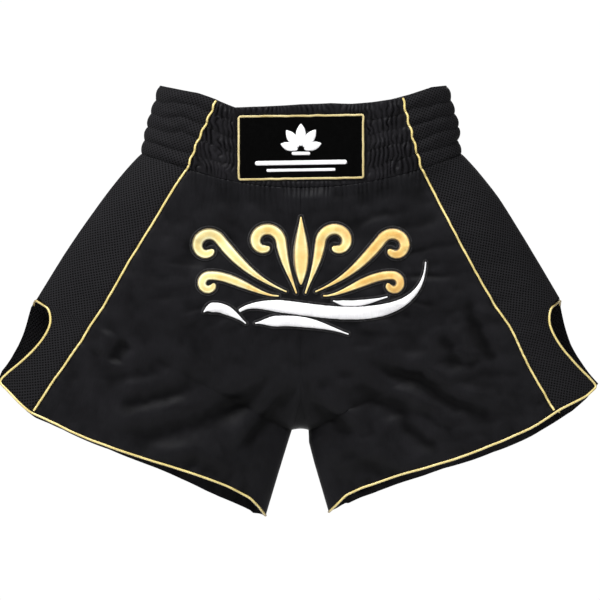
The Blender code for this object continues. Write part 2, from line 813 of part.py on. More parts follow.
def main():
    clear_scene()
    parts = new_collection("Boxing shorts")
    cutters = new_collection("Cutters")
    for face in (FRONT, BACK):
        waistband_face(face, parts)
    elastics(parts)
    lining(parts, cutters)
    care_label(parts)
    patch(parts)
    gusset(parts)
    backing(parts)
    scrollwork(parts)
    flourishes(parts)
    for side in (LEFT, RIGHT):
        waistband_side(side, parts)
        eyelet(side, parts)
        side_panel(side, parts)
        axis = leg_axis(side, parts)
        for face in (FRONT, BACK):
            body_panel(face, side, parts)
            upper_piping(face, side, parts)
            crease_panel(face, side, parts, axis)
            leg_panel(face, side, parts, axis)
            leg_flap(face, side, parts, axis)
            leg_piping(face, side, parts, axis)
        hem_cord(side, parts, axis)


main()
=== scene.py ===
"""Looks for a pair of boxing shorts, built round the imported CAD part.

Every cloth piece lies on the same body surface as the CAD, addressed by reach (0 at the centre
seam or inseam, 1 at the side fold), row (0 waist edge, 1 band edge, 2 crease, 3 hem) and face.
On top of that surface comes the relief: elastic rolls, gathers, drape folds and puckers.
"""
import math

import bmesh
import bpy
import numpy as np
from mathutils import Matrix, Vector


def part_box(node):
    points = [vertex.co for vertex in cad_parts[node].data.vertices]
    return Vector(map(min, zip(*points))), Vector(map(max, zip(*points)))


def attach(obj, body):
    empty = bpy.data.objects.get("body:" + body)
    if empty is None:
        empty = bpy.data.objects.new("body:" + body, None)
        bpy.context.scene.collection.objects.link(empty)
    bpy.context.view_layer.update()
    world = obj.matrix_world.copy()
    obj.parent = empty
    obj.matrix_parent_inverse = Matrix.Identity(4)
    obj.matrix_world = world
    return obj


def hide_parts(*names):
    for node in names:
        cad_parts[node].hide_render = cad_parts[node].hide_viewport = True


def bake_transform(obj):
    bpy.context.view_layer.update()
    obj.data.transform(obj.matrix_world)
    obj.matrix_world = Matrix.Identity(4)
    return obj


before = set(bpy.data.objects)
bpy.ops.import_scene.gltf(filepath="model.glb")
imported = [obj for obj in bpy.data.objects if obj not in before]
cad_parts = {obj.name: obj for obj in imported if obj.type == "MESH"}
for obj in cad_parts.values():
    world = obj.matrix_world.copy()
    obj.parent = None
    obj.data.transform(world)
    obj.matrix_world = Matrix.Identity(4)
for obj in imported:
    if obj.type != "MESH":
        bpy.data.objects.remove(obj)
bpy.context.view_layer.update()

FRONT, BACK = -1, 1
LEFT, RIGHT = 1, -1
SIDES = ((LEFT, "left"), (RIGHT, "right"))
FACES = ((FRONT, "front"), (BACK, "back"))

# ------------------------------------------------------------------ body surface, as in the CAD
WAIST_HALF_WIDTH, WAIST_HALF_DEPTH, WAIST_SIDE_RISE = 0.166, 0.040, 0.0193
BAND_HEIGHT, BAND_LOW_HALF_WIDTH, BAND_LOW_SIDE_Z = 0.0955, 0.182, -0.0565
BAND_SQUARENESS, CREASE_SQUARENESS = 4.0, 2.2
ELASTIC_ROWS, ELASTIC_SHARE = 5, 0.70
HIP_HALF_DEPTH, SIDE_BULGE, CROTCH_Z = 0.056, 0.0075, -0.371
GUSSET_HALF_WIDTH, GUSSET_TOP_ROW, RISE_TURN_ROW = 0.0105, 1.87, 1.46
SLIT_TOP, HEM_INSEAM, HEM_CORNER = (0.2985, -0.2206), (0.039, -0.462), (0.3405, -0.313)
FRONT_SLIT_CUT, BACK_SLIT_CUT, SLIT_SPREAD, BACK_HEM_DROP = 0.0235, 0.008, 0.012, 0.010
SEAM_REACH = (0.650, 0.739, 0.797, 0.861)
PATCH_WIDTH, PATCH_HEIGHT, PATCH_Z = 0.1432, 0.0734, -0.0500
APPLIQUE_Z = -0.1757
PIPING_RADIUS = 0.0014
FELT_MARGIN = 0.0030


def lerp(a, b, t):
    return a + (b - a) * t


def clamp(t):
    return np.clip(t, 0.0, 1.0)


def smooth(t):
    t = clamp(t)
    return t * t * (3 - 2 * t)


def inner_end(row):
    widening = clamp((row - GUSSET_TOP_ROW) / (2 - GUSSET_TOP_ROW))
    x = np.where(row <= 2, GUSSET_HALF_WIDTH * widening, lerp(GUSSET_HALF_WIDTH, HEM_INSEAM[0], row - 2))
    z = np.where(row <= 1, -BAND_HEIGHT * row, lerp(-BAND_HEIGHT, CROTCH_Z, row - 1))
    return x, np.where(row <= 2, z, lerp(CROTCH_Z, HEM_INSEAM[1], row - 2))


def outer_end(row):
    bulge = SIDE_BULGE * np.sin(np.pi * clamp(row - 1) ** 0.7)
    x = np.where(row <= 1, lerp(WAIST_HALF_WIDTH, BAND_LOW_HALF_WIDTH, row),
                 lerp(BAND_LOW_HALF_WIDTH, SLIT_TOP[0], row - 1) + bulge)
    z = np.where(row <= 1, lerp(WAIST_SIDE_RISE, BAND_LOW_SIDE_Z, row),
                 lerp(BAND_LOW_SIDE_Z, SLIT_TOP[1], row - 1))
    return (np.where(row <= 2, x, lerp(SLIT_TOP[0], HEM_CORNER[0], row - 2)),
            np.where(row <= 2, z, lerp(SLIT_TOP[1], HEM_CORNER[1], row - 2)))


def hem_drop(reach, row, face):
    wave = 0.012 * np.sin(np.pi * reach) - 0.0095 * np.sin(2 * np.pi * reach)
    if face == BACK:
        wave = wave + BACK_HEM_DROP * smooth(reach / 0.12) * smooth((1 - reach) / 0.22)
    return wave * np.maximum(row - 2, 0.0) ** 1.5


def depth(reach, row):
    below = smooth(row - 1)
    half = lerp(WAIST_HALF_DEPTH, HIP_HALF_DEPTH, below)
    power = lerp(BAND_SQUARENESS, CREASE_SQUARENESS, below)
    spread = 1 - SLIT_SPREAD * clamp(row - 2)
    towards_side = np.maximum(0.0, 1 - (spread * reach) ** power)
    turn = clamp((row - RISE_TURN_ROW) / (2 - RISE_TURN_ROW))
    open_centre = 1 - turn * turn
    towards_centre = open_centre + (1 - open_centre) * (1 - (1 - reach) ** CREASE_SQUARENESS)
    return half * np.sqrt(towards_side * towards_centre)


def bare(reach, row, face, inset=0.0):
    """Points of the +X half of the body surface, without relief."""
    reach, row = np.broadcast_arrays(np.asarray(reach, float), np.asarray(row, float))
    inner_x, inner_z = inner_end(row)
    outer_x, outer_z = outer_end(row)
    bend = lerp(2.0, 1.0, clamp(row - 1))
    x = lerp(inner_x, outer_x, reach) * (1 - inset / outer_x)
    z = lerp(inner_z, outer_z, reach ** bend) - hem_drop(reach, row, face)
    y = face * depth(reach, row) * (1 - inset / WAIST_HALF_DEPTH)
    return np.stack([x, y, z], -1)


def seam_reach(row):
    return np.interp(row, (0, 1, 2, 3), SEAM_REACH)


def row_length(row):
    inner, outer = inner_end(row), outer_end(row)
    return np.hypot(outer[0] - inner[0], outer[1] - inner[1])


def slit_reach(row, face):
    t = clamp(row - 2)
    if face == FRONT:
        cut = FRONT_SLIT_CUT * np.sin(np.pi * np.sqrt(t)) + 0.003 * t
    else:
        cut = BACK_SLIT_CUT * np.sin(np.pi * t)
    return 1 - cut / row_length(row)


# How this pair departs from the even CAD shape: tables of place, then shift in millimetres.
# Side seams on the front, by row, sideways.
SEAM_SHIFT = {
    RIGHT: ((0, 0.3, 0.6, 1, 1.33, 1.55, 1.8, 2, 2.2, 2.45, 2.7, 3),
            (12, 9.8, 7, 6, 3.6, 0.4, 0.6, 2, 2.8, 0.2, -3, -6.5)),
    LEFT: ((0, 0.3, 0.6, 1, 1.33, 1.55, 1.8, 2, 2.2, 2.45, 2.7, 3),
           (7.4, 5, 3.6, 1.8, -3.6, -4, -3.7, -4.2, -6.8, -10, -10.4, -10.2)),
}
# Side folds and slit edges, by row, sideways.
EDGE_SHIFT = {
    (RIGHT, FRONT): ((0, 0.15, 0.4, 0.7, 1, 1.4, 1.7, 2, 2.2, 2.35, 2.5, 2.65, 2.8, 2.93, 3),
                     (5, 5, 2, 1, 1, 0.6, -1, -1.2, 0, -1.5, -4, -6, -8.5, -8, -4.5)),
    (RIGHT, BACK): ((0, 0.15, 0.4, 0.7, 1, 1.4, 1.7, 2, 2.1, 2.2, 2.4, 2.6, 2.85, 3),
                    (5, 5, 2, 1, 1, 0.6, -1, -1.2, -6.9, -8.2, -9.4, -10.9, -10.2, -4.5)),
    (LEFT, FRONT): ((0, 0.4, 0.62, 0.85, 1, 1.3, 1.5, 1.7, 2, 2.2, 2.35, 2.6, 2.85, 3),
                    (0, 2, 3, -2, 0, 0, -2.3, -3.4, -4.5, -3.5, 0, 1, 0, -2)),
    (LEFT, BACK): ((0, 0.4, 0.62, 0.85, 1, 1.3, 1.5, 1.7, 2, 2.1, 2.3, 2.5, 2.7, 3),
                   (0, 2, 3, -2, 0, 0, -2.3, -3.4, -4.5, -5.1, -5.4, -5.4, -3.1, -2)),
}
# Inseams, by row, sideways.
INSEAM_SHIFT = {RIGHT: ((1.87, 2, 3), (0, 0, -1)),
                LEFT: ((1.87, 2, 2.06, 2.15, 2.4, 3), (0, -2, -3.4, -5.7, -6.8, -7.5))}
# Top edge, by reach, upwards.
TOP_SHIFT = {RIGHT: ((0, 0.21, 0.35, 0.49, 0.62, 0.76, 0.9, 1), (-2.8, -5.7, -8, -11, -6.8, -1.1, 0, 0)),
             LEFT: ((0, 0.2, 0.335, 0.47, 0.61, 0.75, 0.88, 1), (-2.8, -2.3, -4.5, -4.5, -3.4, -1.1, 2, 0))}
# Front hem, by reach, upwards.
HEM_SHIFT = {
    RIGHT: ((0, 0.03, 0.06, 0.14, 0.23, 0.32, 0.41, 0.5, 0.6, 0.7, 0.77, 0.82, 0.87, 0.92, 1),
            (-6, 0, 4.5, 4.5, 2.3, 1.1, 1.1, 2.3, 3.4, 2.3, 1.1, -1.5, -5.5, -5, -1)),
    LEFT: ((0, 0.03, 0.06, 0.115, 0.16, 0.2, 0.25, 0.34, 0.45, 0.6, 0.7, 0.75, 0.79, 0.88, 0.956, 1),
           (-2, 2, 7.5, 6.8, 4.5, 3.4, 2.3, 0, 0, 2.3, 1.1, -1.1, -2.3, -4.5, -8, -5)),
}
# How far the back hem hangs below the front one, by reach.
BACK_DROP = {
    RIGHT: ((0, 0.05, 0.14, 0.18, 0.23, 0.32, 0.41, 0.5, 0.59, 0.68, 0.77, 0.9, 1),
            (0, 15, 17.6, 17.6, 16.4, 13, 9.6, 8.5, 7.2, 7.2, 7.4, 7.6, 0)),
    LEFT: ((0, 0.05, 0.07, 0.15, 0.3, 0.42, 0.52, 0.7, 0.79, 0.9, 1),
           (0, 8, 11.9, 11.9, 10.8, 8.5, 9.6, 9.6, 7.3, 7, 0)),
}


def table(place, pair):
    return np.interp(place, *pair) * 0.001


def hang(reach, row, face, side):
    """Shift in x and z, in metres, of the places on one face and side, and the part of the
    sideways one that slides along the body."""
    seam = seam_reach(row)
    inside = clamp(reach / seam) ** 2
    outside = smooth((1 - reach) / (1 - seam))
    dx = table(row, EDGE_SHIFT[side, face]) * reach ** 6
    slide = 0 * dx
    if face == FRONT:
        share = np.where(reach < seam, inside, outside)
        slide = table(row, SEAM_SHIFT[side]) * share
        dx = dx * (1 - share) + slide
    dx = dx + table(row, INSEAM_SHIFT[side]) * (1 - reach) ** 3
    dz = table(reach, TOP_SHIFT[side]) * np.maximum(1 - row, 0) ** 1.3
    hem = table(reach, HEM_SHIFT[side])
    if face == BACK:
        even = BACK_HEM_DROP * smooth(reach / 0.12) * smooth((1 - reach) / 0.22)
        hem = hem + even - table(reach, BACK_DROP[side])
    return dx, dz + hem * np.maximum(row - 2, 0) ** 1.5, slide


# ------------------------------------------------------------------ noise and folds

def noise(x, y, seed):
    """Smooth value noise in -1..1 over the plane, the same on every run."""
    lattice = np.random.RandomState(seed).uniform(-1, 1, (64, 64))
    x, y = np.broadcast_arrays(np.asarray(x, float), np.asarray(y, float))
    i, j = np.floor(x).astype(int), np.floor(y).astype(int)
    u, v = smooth(x - i), smooth(y - j)

    def corner(a, b):
        return lattice[(i + a) % 64, (j + b) % 64]
    top = lerp(corner(0, 0), corner(1, 0), u)
    return lerp(top, lerp(corner(0, 1), corner(1, 1), u), v)


def pleats(across, along, seed):
    """Gathers: rounded ridges with sharp valleys, 0..1, about one ridge per unit across."""
    wander = 0.80 * noise(across * 0.30, along * 0.5, seed + 1)
    wander = wander + 0.34 * noise(across * 0.8, along * 2.1, seed + 2)
    ridge = np.abs(np.sin(np.pi * (across * 0.95 + wander))) ** 0.8
    strength = clamp(0.80 + 0.60 * noise(across * 0.55, along * 1.3, seed + 3))
    return ridge * strength + 0.5 * (1 - strength)


# Drape folds of the front: x and z of a line along a fold's dark flank in metres, then the
# fold's half width and its height in millimetres. The cloth stands out above the line.
FOLDS = (
    (((-0.205, -0.262), (-0.223, -0.291)), 10, 2.2),
    (((-0.220, -0.334), (-0.170, -0.327), (-0.122, -0.312)), 11, 2.1),
    (((-0.232, -0.371), (-0.170, -0.364), (-0.116, -0.350), (-0.060, -0.322), (-0.016, -0.296)), 13, 3.0),
    (((-0.082, -0.396), (-0.048, -0.356), (-0.010, -0.310)), 10, 3.0),
    (((-0.160, -0.183), (-0.110, -0.150), (-0.066, -0.125)), 14, 1.6),
    (((-0.180, -0.410), (-0.120, -0.400), (-0.070, -0.425)), 9, 1.6),
    (((-0.235, -0.310), (-0.190, -0.300), (-0.140, -0.285)), 12, 1.4),
    (((0.064, -0.288), (0.136, -0.306), (0.178, -0.335), (0.246, -0.352)), 11, 3.4),
    (((0.040, -0.300), (0.117, -0.338), (0.196, -0.376)), 12, 3.2),
    (((0.010, -0.332), (0.068, -0.371)), 9, 2.6),
    (((0.107, -0.351), (0.166, -0.390)), 9, 2.0),
    (((0.163, -0.252), (0.187, -0.301)), 9, 1.6),
    (((0.190, -0.215), (0.215, -0.275), (0.232, -0.300)), 8, 1.4),
    (((0.050, -0.400), (0.120, -0.415), (0.170, -0.400)), 9, 1.4),
)
BACK_FOLDS = (
    (((-0.225, -0.300), (-0.160, -0.318), (-0.090, -0.340), (-0.030, -0.345)), 13, 3.4),
    (((-0.235, -0.350), (-0.150, -0.372), (-0.080, -0.392)), 11, 2.4),
    (((-0.150, -0.240), (-0.080, -0.285), (-0.015, -0.300)), 14, 2.6),
    (((-0.170, -0.180), (-0.120, -0.150), (-0.070, -0.128)), 14, 1.8),
    (((0.020, -0.290), (0.100, -0.280), (0.180, -0.240)), 14, 2.8),
    (((0.030, -0.340), (0.110, -0.352), (0.225, -0.318)), 12, 3.4),
    (((0.070, -0.400), (0.150, -0.395), (0.240, -0.360)), 10, 2.2),
    (((0.060, -0.130), (0.120, -0.160), (0.165, -0.200)), 14, 1.8),
)


def arc_length(path):
    """Length along a path at each of its points."""
    spans = np.linalg.norm(np.diff(path, axis=0), axis=1)
    return np.concatenate([[0.0], np.cumsum(spans)])


def fold_height(x, z, folds):
    total = np.zeros_like(x)
    for points, width, height in folds:
        points = np.array(points)
        starts = arc_length(points)
        gap = np.full(x.shape, 1e9)
        offset, mark = np.zeros_like(x), np.zeros_like(x)
        for a, b, start in zip(points, points[1:], starts):
            span = np.linalg.norm(b - a)
            run = (b - a) / span
            dx, dz = x - a[0], z - a[1]
            along = np.clip(dx * run[0] + dz * run[1], 0, span)
            here = np.hypot(dx - along * run[0], dz - along * run[1])
            sign = np.sign(run[0] * dz - run[1] * dx) * (-1 if run[0] < 0 else 1)
            near = here < gap
            gap = np.where(near, here, gap)
            offset = np.where(near, sign * here, offset)
            mark = np.where(near, (start + along) / starts[-1], mark)
        s = offset / (width * 0.001)
        ends = smooth(mark / 0.3) * smooth((1 - mark) / 0.3)
        total += height * 0.001 * s * np.exp(0.5 - 0.5 * s * s) * ends
    return total


def patch_mask(x, z):
    """0 behind the patch, 1 clear of it."""
    out = np.maximum(np.abs(x) - PATCH_WIDTH / 2, np.abs(z - PATCH_Z) - PATCH_HEIGHT / 2)
    return smooth(out / 0.006)


def rolls(row):
    """0 in the stitched channels of the band, 1 on top of each elastic roll."""
    return np.abs(np.sin(np.pi * ELASTIC_ROWS * clamp(row))) ** 0.75


BISECTIONS, HANG_ROUNDS = 34, 4         # rounds in which a place on the front is found
GATHER_PITCH, GATHER_HEIGHT, GATHER_LEVEL = 0.0052, 0.0040, 0.45
GATHER_RUN, GATHER_STEP = 7, 0.35       # how gathers change down the band, and jump at an elastic
GATHER_END = 0.014                      # how far under the band the drape of the body sets in
SATIN_ROLL, MESH_ROLL = 0.0010, 0.0025  # how high the elastics' rolls stand
BODY_DROP, LEG_DROP = 0.2755, 0.105     # height of the body at the centre, and of a leg


def gather_seed(face):
    return 23 + 5 * (face == BACK)


def band_relief(x, z, reach, row, face):
    """Elastic rolls, high on the mesh sides, and gathers, strong on the satin between the pipings."""
    on_side = smooth((reach - seam_reach(row) + 0.05) / 0.10)
    wander = 0.055 * noise(x * 38, row * 2 + 7 * face, 41) + 0.02 * noise(x * 110, row * 6, 43)
    wander = wander * smooth(row / 0.15) * smooth((1 - row) / 0.15) * smooth((1 - reach) / 0.06)
    roll = rolls(row + wander)
    height = lerp(SATIN_ROLL, MESH_ROLL, on_side) * (1 + 0.35 * noise(x * 45, row * 5, 17))
    elastic = np.minimum(np.floor(row * ELASTIC_ROWS), ELASTIC_ROWS - 1)
    across = x / GATHER_PITCH
    gather = pleats(across, row * GATHER_RUN + GATHER_STEP * elastic, gather_seed(face))
    coarse = noise(across * 0.45, row * 9, 29 + face)
    crumple = GATHER_HEIGHT * (gather - GATHER_LEVEL) + 0.0012 * coarse * smooth((1 - row) / 0.12)
    crumple *= (1 - on_side) * (0.5 + 0.5 * roll)
    soft = 0.0007 * noise(across * 0.55, row * 12, 31) * on_side * roll * smooth((1 - reach) / 0.05)
    relief = height * roll + crumple + soft
    return relief * patch_mask(x, z) if face == FRONT else relief


def gathers_below(x, below, face, on_mesh):
    """The band's gathers dying out on the cloth under it, and the loose folds that they end in."""
    along = GATHER_RUN + GATHER_STEP * (ELASTIC_ROWS - 1) + below * 20
    gather = pleats(x / GATHER_PITCH, along, gather_seed(face)) - GATHER_LEVEL
    coarse = 0.0020 * noise(x / 0.014, below * 12, 51 + face) * np.exp(-below / 0.035)
    wide = 0.0024 * noise(x / 0.030, below * 7, 57 + face) * np.exp(-below / 0.08)
    relief = GATHER_HEIGHT * gather * np.exp(-below / 0.011) * (1 - on_mesh)
    relief = relief + smooth(below / GATHER_END) * (coarse + wide) * (1 - 0.6 * on_mesh)
    return relief * (0.5 + 0.5 * smooth(below / 0.006))


def drape(x, z, below, face, side, on_mesh):
    """Long folds of the hanging cloth: the listed ones, and chance ones of three sizes."""
    folds = 1.6 * fold_height(x, z, FOLDS if face == FRONT else BACK_FOLDS)
    folds = folds * smooth((below - 0.01) / 0.03) * (1 - 0.75 * on_mesh)
    slant = side * 0.5 * z
    slanted = noise((x - slant) / 0.026, (z + slant) / 0.017, 67 + face) * smooth(np.abs(x) / 0.035)
    chance = 0.0022 * noise(x / 0.055 + 3, z / 0.048, 61 + face)
    chance = chance + 0.0014 * slanted * (1 - 0.6 * on_mesh)
    chance = chance + 0.0004 * noise(x / 0.008, z / 0.010, 71 + face) * (1 - on_mesh)
    return folds + smooth(below / GATHER_END) * chance


def seam_puckers(x, z, row, to_seam, face):
    """Creases at the side seams and the front's centre seam, and the side seams' groove."""
    relief = 0.0006 * noise(row * 0.27 / 0.0095, to_seam / 0.012, 73) * np.exp(-to_seam / 0.009)
    if face == FRONT:
        centre = noise(z / 0.008, np.abs(x) / 0.02, 79) * np.exp(-np.abs(x) / 0.012)
        relief = relief + 0.0007 * centre * smooth((row - 1.62) / 0.1)
    return relief - 0.0009 * np.exp(-(np.maximum(to_seam - PIPING_RADIUS, 0) / 0.0022) ** 2)


def hem_puckers(reach, row, face):
    """Creases that the hem cord draws, strongest by the inseam."""
    above = (3 - row) * LEG_DROP
    strong = 0.0006 + 0.0012 * np.exp(-reach / 0.16)
    crease = noise(reach * row_length(3.0) / 0.010, above / 0.04 + 3, 83 + face)
    return strong * crease * np.exp(-above / 0.020) * smooth((row - 2) / 0.2)


def body_relief(x, z, reach, row, face, side):
    """Gathers that die out below the band, drape folds, and puckers at seams and hem."""
    below = (row - 1) * BODY_DROP
    past_seam = reach - seam_reach(row)
    on_mesh = smooth(past_seam / 0.02)
    relief = gathers_below(x, below, face, on_mesh) + drape(x, z, below, face, side, on_mesh)
    relief = relief + seam_puckers(x, z, row, np.abs(past_seam) * row_length(row), face)
    relief = relief + hem_puckers(reach, row, face)
    by_inseam = smooth(reach / lerp(0.0001, 0.06, smooth((row - 1.75) / 0.2)))
    return relief * smooth((1 - reach) / 0.14) * np.where(row > 1.75, by_inseam, 1.0)


def puckers(x, z):
    """Small creases that the applique's stitching draws into the satin round it."""
    u = x / 0.145
    v = (z - APPLIQUE_Z + 0.020) / 0.066
    ring = np.hypot(u, v)
    angle = np.arctan2(v, u)
    return 0.0008 * noise(np.abs(angle) * 11, ring * 3, 89) * np.exp(-((ring - 1.05) / 0.22) ** 2)


def surface(reach, row, face, side, lift=0.0):
    """Points of the finished cloth surface, and the outward normals of the bare one."""
    reach, row = np.broadcast_arrays(np.asarray(reach, float), np.asarray(row, float))
    base = bare(reach, row, face)
    step = 0.002
    across = bare(np.minimum(reach + step, 1), row, face) - bare(np.maximum(reach - step, 0), row, face)
    down = bare(reach, np.minimum(row + step, 3), face) - bare(reach, np.maximum(row - step, 0), face)
    normal = np.cross(across, down)
    normal /= np.maximum(np.linalg.norm(normal, axis=-1, keepdims=True), 1e-12)
    outwards = np.stack([reach * 0.2, np.full(reach.shape, float(face)), 0 * reach], -1)
    normal *= np.sign(np.sum(normal * outwards, -1))[..., None]
    normal[..., 0] *= smooth(reach / 0.02)
    dx, dz, slide = hang(reach, row, face, side)
    slid = clamp(reach + side * slide / (outer_end(row)[0] - inner_end(row)[0]))
    base[..., 1] = base[..., 1] * depth(slid, row) / np.maximum(depth(reach, row), 1e-5)
    x, z = base[..., 0] * side + dx, base[..., 2] + dz
    relief = np.where(row <= 1, band_relief(x, z, reach, row, face),
                      body_relief(x, z, reach, row, face, side))
    if face == FRONT:
        relief = relief + puckers(x, z) * (row > 1)
    points = base + normal * (relief + lift)[..., None]
    points[..., 0] = points[..., 0] * side + dx
    points[..., 2] += dz
    return points, normal * np.array([side, 1, 1])


def front_place(x, z):
    """Reach and row of places on the front of the bare body, from their x and z, by bisection."""
    x, z = np.broadcast_arrays(np.asarray(x, float), np.asarray(z, float))
    low, high = np.full(x.shape, 0.0), np.full(x.shape, 2.0)
    for _ in range(BISECTIONS):
        row = (low + high) / 2
        inner_x, inner_z = inner_end(row)
        outer_x, outer_z = outer_end(row)
        reach = np.clip((np.abs(x) - inner_x) / (outer_x - inner_x), 0, 1)
        level = lerp(inner_z, outer_z, reach ** lerp(2.0, 1.0, clamp(row - 1)))
        low = np.where(level > z, row, low)
        high = np.where(level > z, high, row)
    return reach, row


def front_y(x, z):
    """Depth of the finished front cloth at places on it."""
    y = np.empty(np.shape(x))
    for side in (LEFT, RIGHT):
        dx, dz = 0.0, 0.0
        for _ in range(HANG_ROUNDS):
            reach, row = front_place(np.where(x * side > 0, x - dx, 0.0), z - dz)
            dx, dz, _ = hang(reach, row, FRONT, side)
        points, _ = surface(reach, row, FRONT, side)
        y = np.where(np.sign(x + 1e-9) == side, points[..., 1], y)
    return y


# ------------------------------------------------------------------ mesh makers
TUBE_SIDES = 12
LEVEL, CREST_HEIGHT = 0.5, 0.0012      # crest value of level cloth, and the height that counts as a crest


def thicken(item, thickness):
    """Give a cloth its thickness, inwards, with a flat rim so that its face stays smooth to the edge."""
    thin = item.data
    modifier = item.modifiers.new("Cloth", "SOLIDIFY")
    modifier.thickness = thickness
    modifier.offset = -1
    graph = bpy.context.evaluated_depsgraph_get()
    item.data = bpy.data.meshes.new_from_object(item.evaluated_get(graph))
    item.modifiers.clear()
    rounded = np.arange(len(item.data.polygons)) < 2 * len(thin.polygons)
    item.data.polygons.foreach_set("use_smooth", rounded)
    bpy.data.meshes.remove(thin)
    item.data.name = item.name


def finished(name, vertices, faces, uvs, material, thickness=0.0, attribute=None):
    """A smooth mesh object; faces are an array or a list, and uvs are per vertex, in metres."""
    mesh = bpy.data.meshes.new(name)
    mesh.from_pydata(vertices.reshape(-1, 3).tolist(), [],
                     faces if isinstance(faces, list) else faces.tolist())
    layer = mesh.uv_layers.new(name="cloth")
    loops = np.zeros(len(mesh.loops), int)
    mesh.loops.foreach_get("vertex_index", loops)
    layer.data.foreach_set("uv", uvs.reshape(-1, 2)[loops].astype(np.float32).ravel())
    mesh.polygons.foreach_set("use_smooth", np.ones(len(mesh.polygons), bool))
    mesh.materials.append(material)
    if attribute:
        layer = mesh.attributes.new(attribute[0], "FLOAT", "POINT")
        layer.data.foreach_set("value", np.asarray(attribute[1], np.float32).ravel())
    item = bpy.data.objects.new(name, mesh)
    bpy.context.scene.collection.objects.link(item)
    if thickness:
        thicken(item, thickness)
    return item


def grid_faces(rows, columns, flip=False, ring=False):
    i = np.arange(rows - 1)[:, None]
    j = np.arange(columns if ring else columns - 1)[None, :]
    k = (j + 1) % columns
    a, b = i * columns + j, (i + 1) * columns + j
    c, d = (i + 1) * columns + k, i * columns + k
    order = (a, d, c, b) if flip else (a, b, c, d)
    return np.stack([np.broadcast_to(q, a.shape) for q in order], -1).reshape(-1, 4)


def arc_uv(points):
    """Metric UVs of a grid: arc length along each row, and down the first column."""
    across = np.linalg.norm(np.diff(points, axis=1), axis=-1)
    u = np.concatenate([np.zeros((len(points), 1)), np.cumsum(across, 1)], 1)
    down = np.linalg.norm(np.diff(points, axis=0), axis=-1).mean(1)
    v = np.concatenate([[0.0], np.cumsum(down)])
    return np.stack([u, np.broadcast_to(-v[:, None], u.shape)], -1)


def blurred(grid, count):
    """Mean of a 2D grid over count places each way, carried on past its edges."""
    for _ in range(2):
        padded = np.pad(grid, ((count + 1, count), (0, 0)), "reflect", reflect_type="odd")
        total = np.cumsum(padded, 0)
        grid = ((total[2 * count + 1:] - total[:-2 * count - 1]) / (2 * count + 1)).T
    return grid


def crests(points, face, count):
    """How far each place stands above the cloth round it: 0 in a valley, 0.5 level, 1 on a crest. The satin
    darkens its colour by it, as painted shade in the valleys.
    """
    out = face * points[..., 1]
    return LEVEL + LEVEL * np.tanh((out - blurred(out, count)) / CREST_HEIGHT)


def sheet(name, points, material, thickness, flip=False, crest_shade=None):
    """A cloth from a grid of points, carrying, where they are given, the values from which the satin paints
    its shade.
    """
    faces = grid_faces(*points.shape[:2], flip)
    attribute = None if crest_shade is None else ("crest_shade", crest_shade)
    return finished(name, points, faces, arc_uv(points), material, thickness, attribute)


def tube(name, path, radius, material, closed=False):
    """A round cord along a path; radius may vary along it."""
    path = np.asarray(path, float)
    count = len(path)
    ahead = np.roll(path, -1, 0) - np.roll(path, 1, 0)
    if not closed:
        ahead[0], ahead[-1] = path[1] - path[0], path[-1] - path[-2]
    ahead /= np.linalg.norm(ahead, axis=1, keepdims=True)
    up = np.cross(ahead[0], (0, 1, 0))
    ups = []
    for direction in ahead:
        up = up - direction * (up @ direction)
        up = up / np.linalg.norm(up)
        ups.append(up)
    ups = np.array(ups)
    sideways = np.cross(ahead, ups)
    angle = np.linspace(0, 2 * np.pi, TUBE_SIDES, endpoint=False)[None, :, None]
    spokes = np.cos(angle) * ups[:, None] + np.sin(angle) * sideways[:, None]
    rings = path[:, None] + np.broadcast_to(radius, (count,))[:, None, None] * spokes
    uv = np.stack(np.broadcast_arrays(arc_length(path)[:, None], angle[..., 0] * PIPING_RADIUS), -1)
    faces = grid_faces(count, TUBE_SIDES, ring=True).tolist()
    first, last = np.arange(TUBE_SIDES), np.arange(TUBE_SIDES) + (count - 1) * TUBE_SIDES
    if closed:
        faces += np.stack([last, first, np.roll(first, -1), np.roll(last, -1)], -1).tolist()
    else:
        faces += [first[::-1].tolist(), last.tolist()]
    return finished(name, rings, faces, uv, material)


def join(name, items):
    """One object from several, keeping their meshes as they are."""
    bpy.ops.object.select_all(action="DESELECT")
    for item in items:
        item.select_set(True)
    bpy.context.view_layer.objects.active = items[0]
    bpy.ops.object.join()
    items[0].name = name
    items[0].data.name = name
    return items[0]


def resample(path, step):
    """The same path with points at even steps."""
    path = np.asarray(path, float)
    marks = arc_length(path)
    count = max(2, int(round(marks[-1] / step)) + 1)
    places = np.linspace(0, marks[-1], count)
    return np.stack([np.interp(places, marks, path[:, k]) for k in range(path.shape[1])], -1)


# ------------------------------------------------------------------ materials

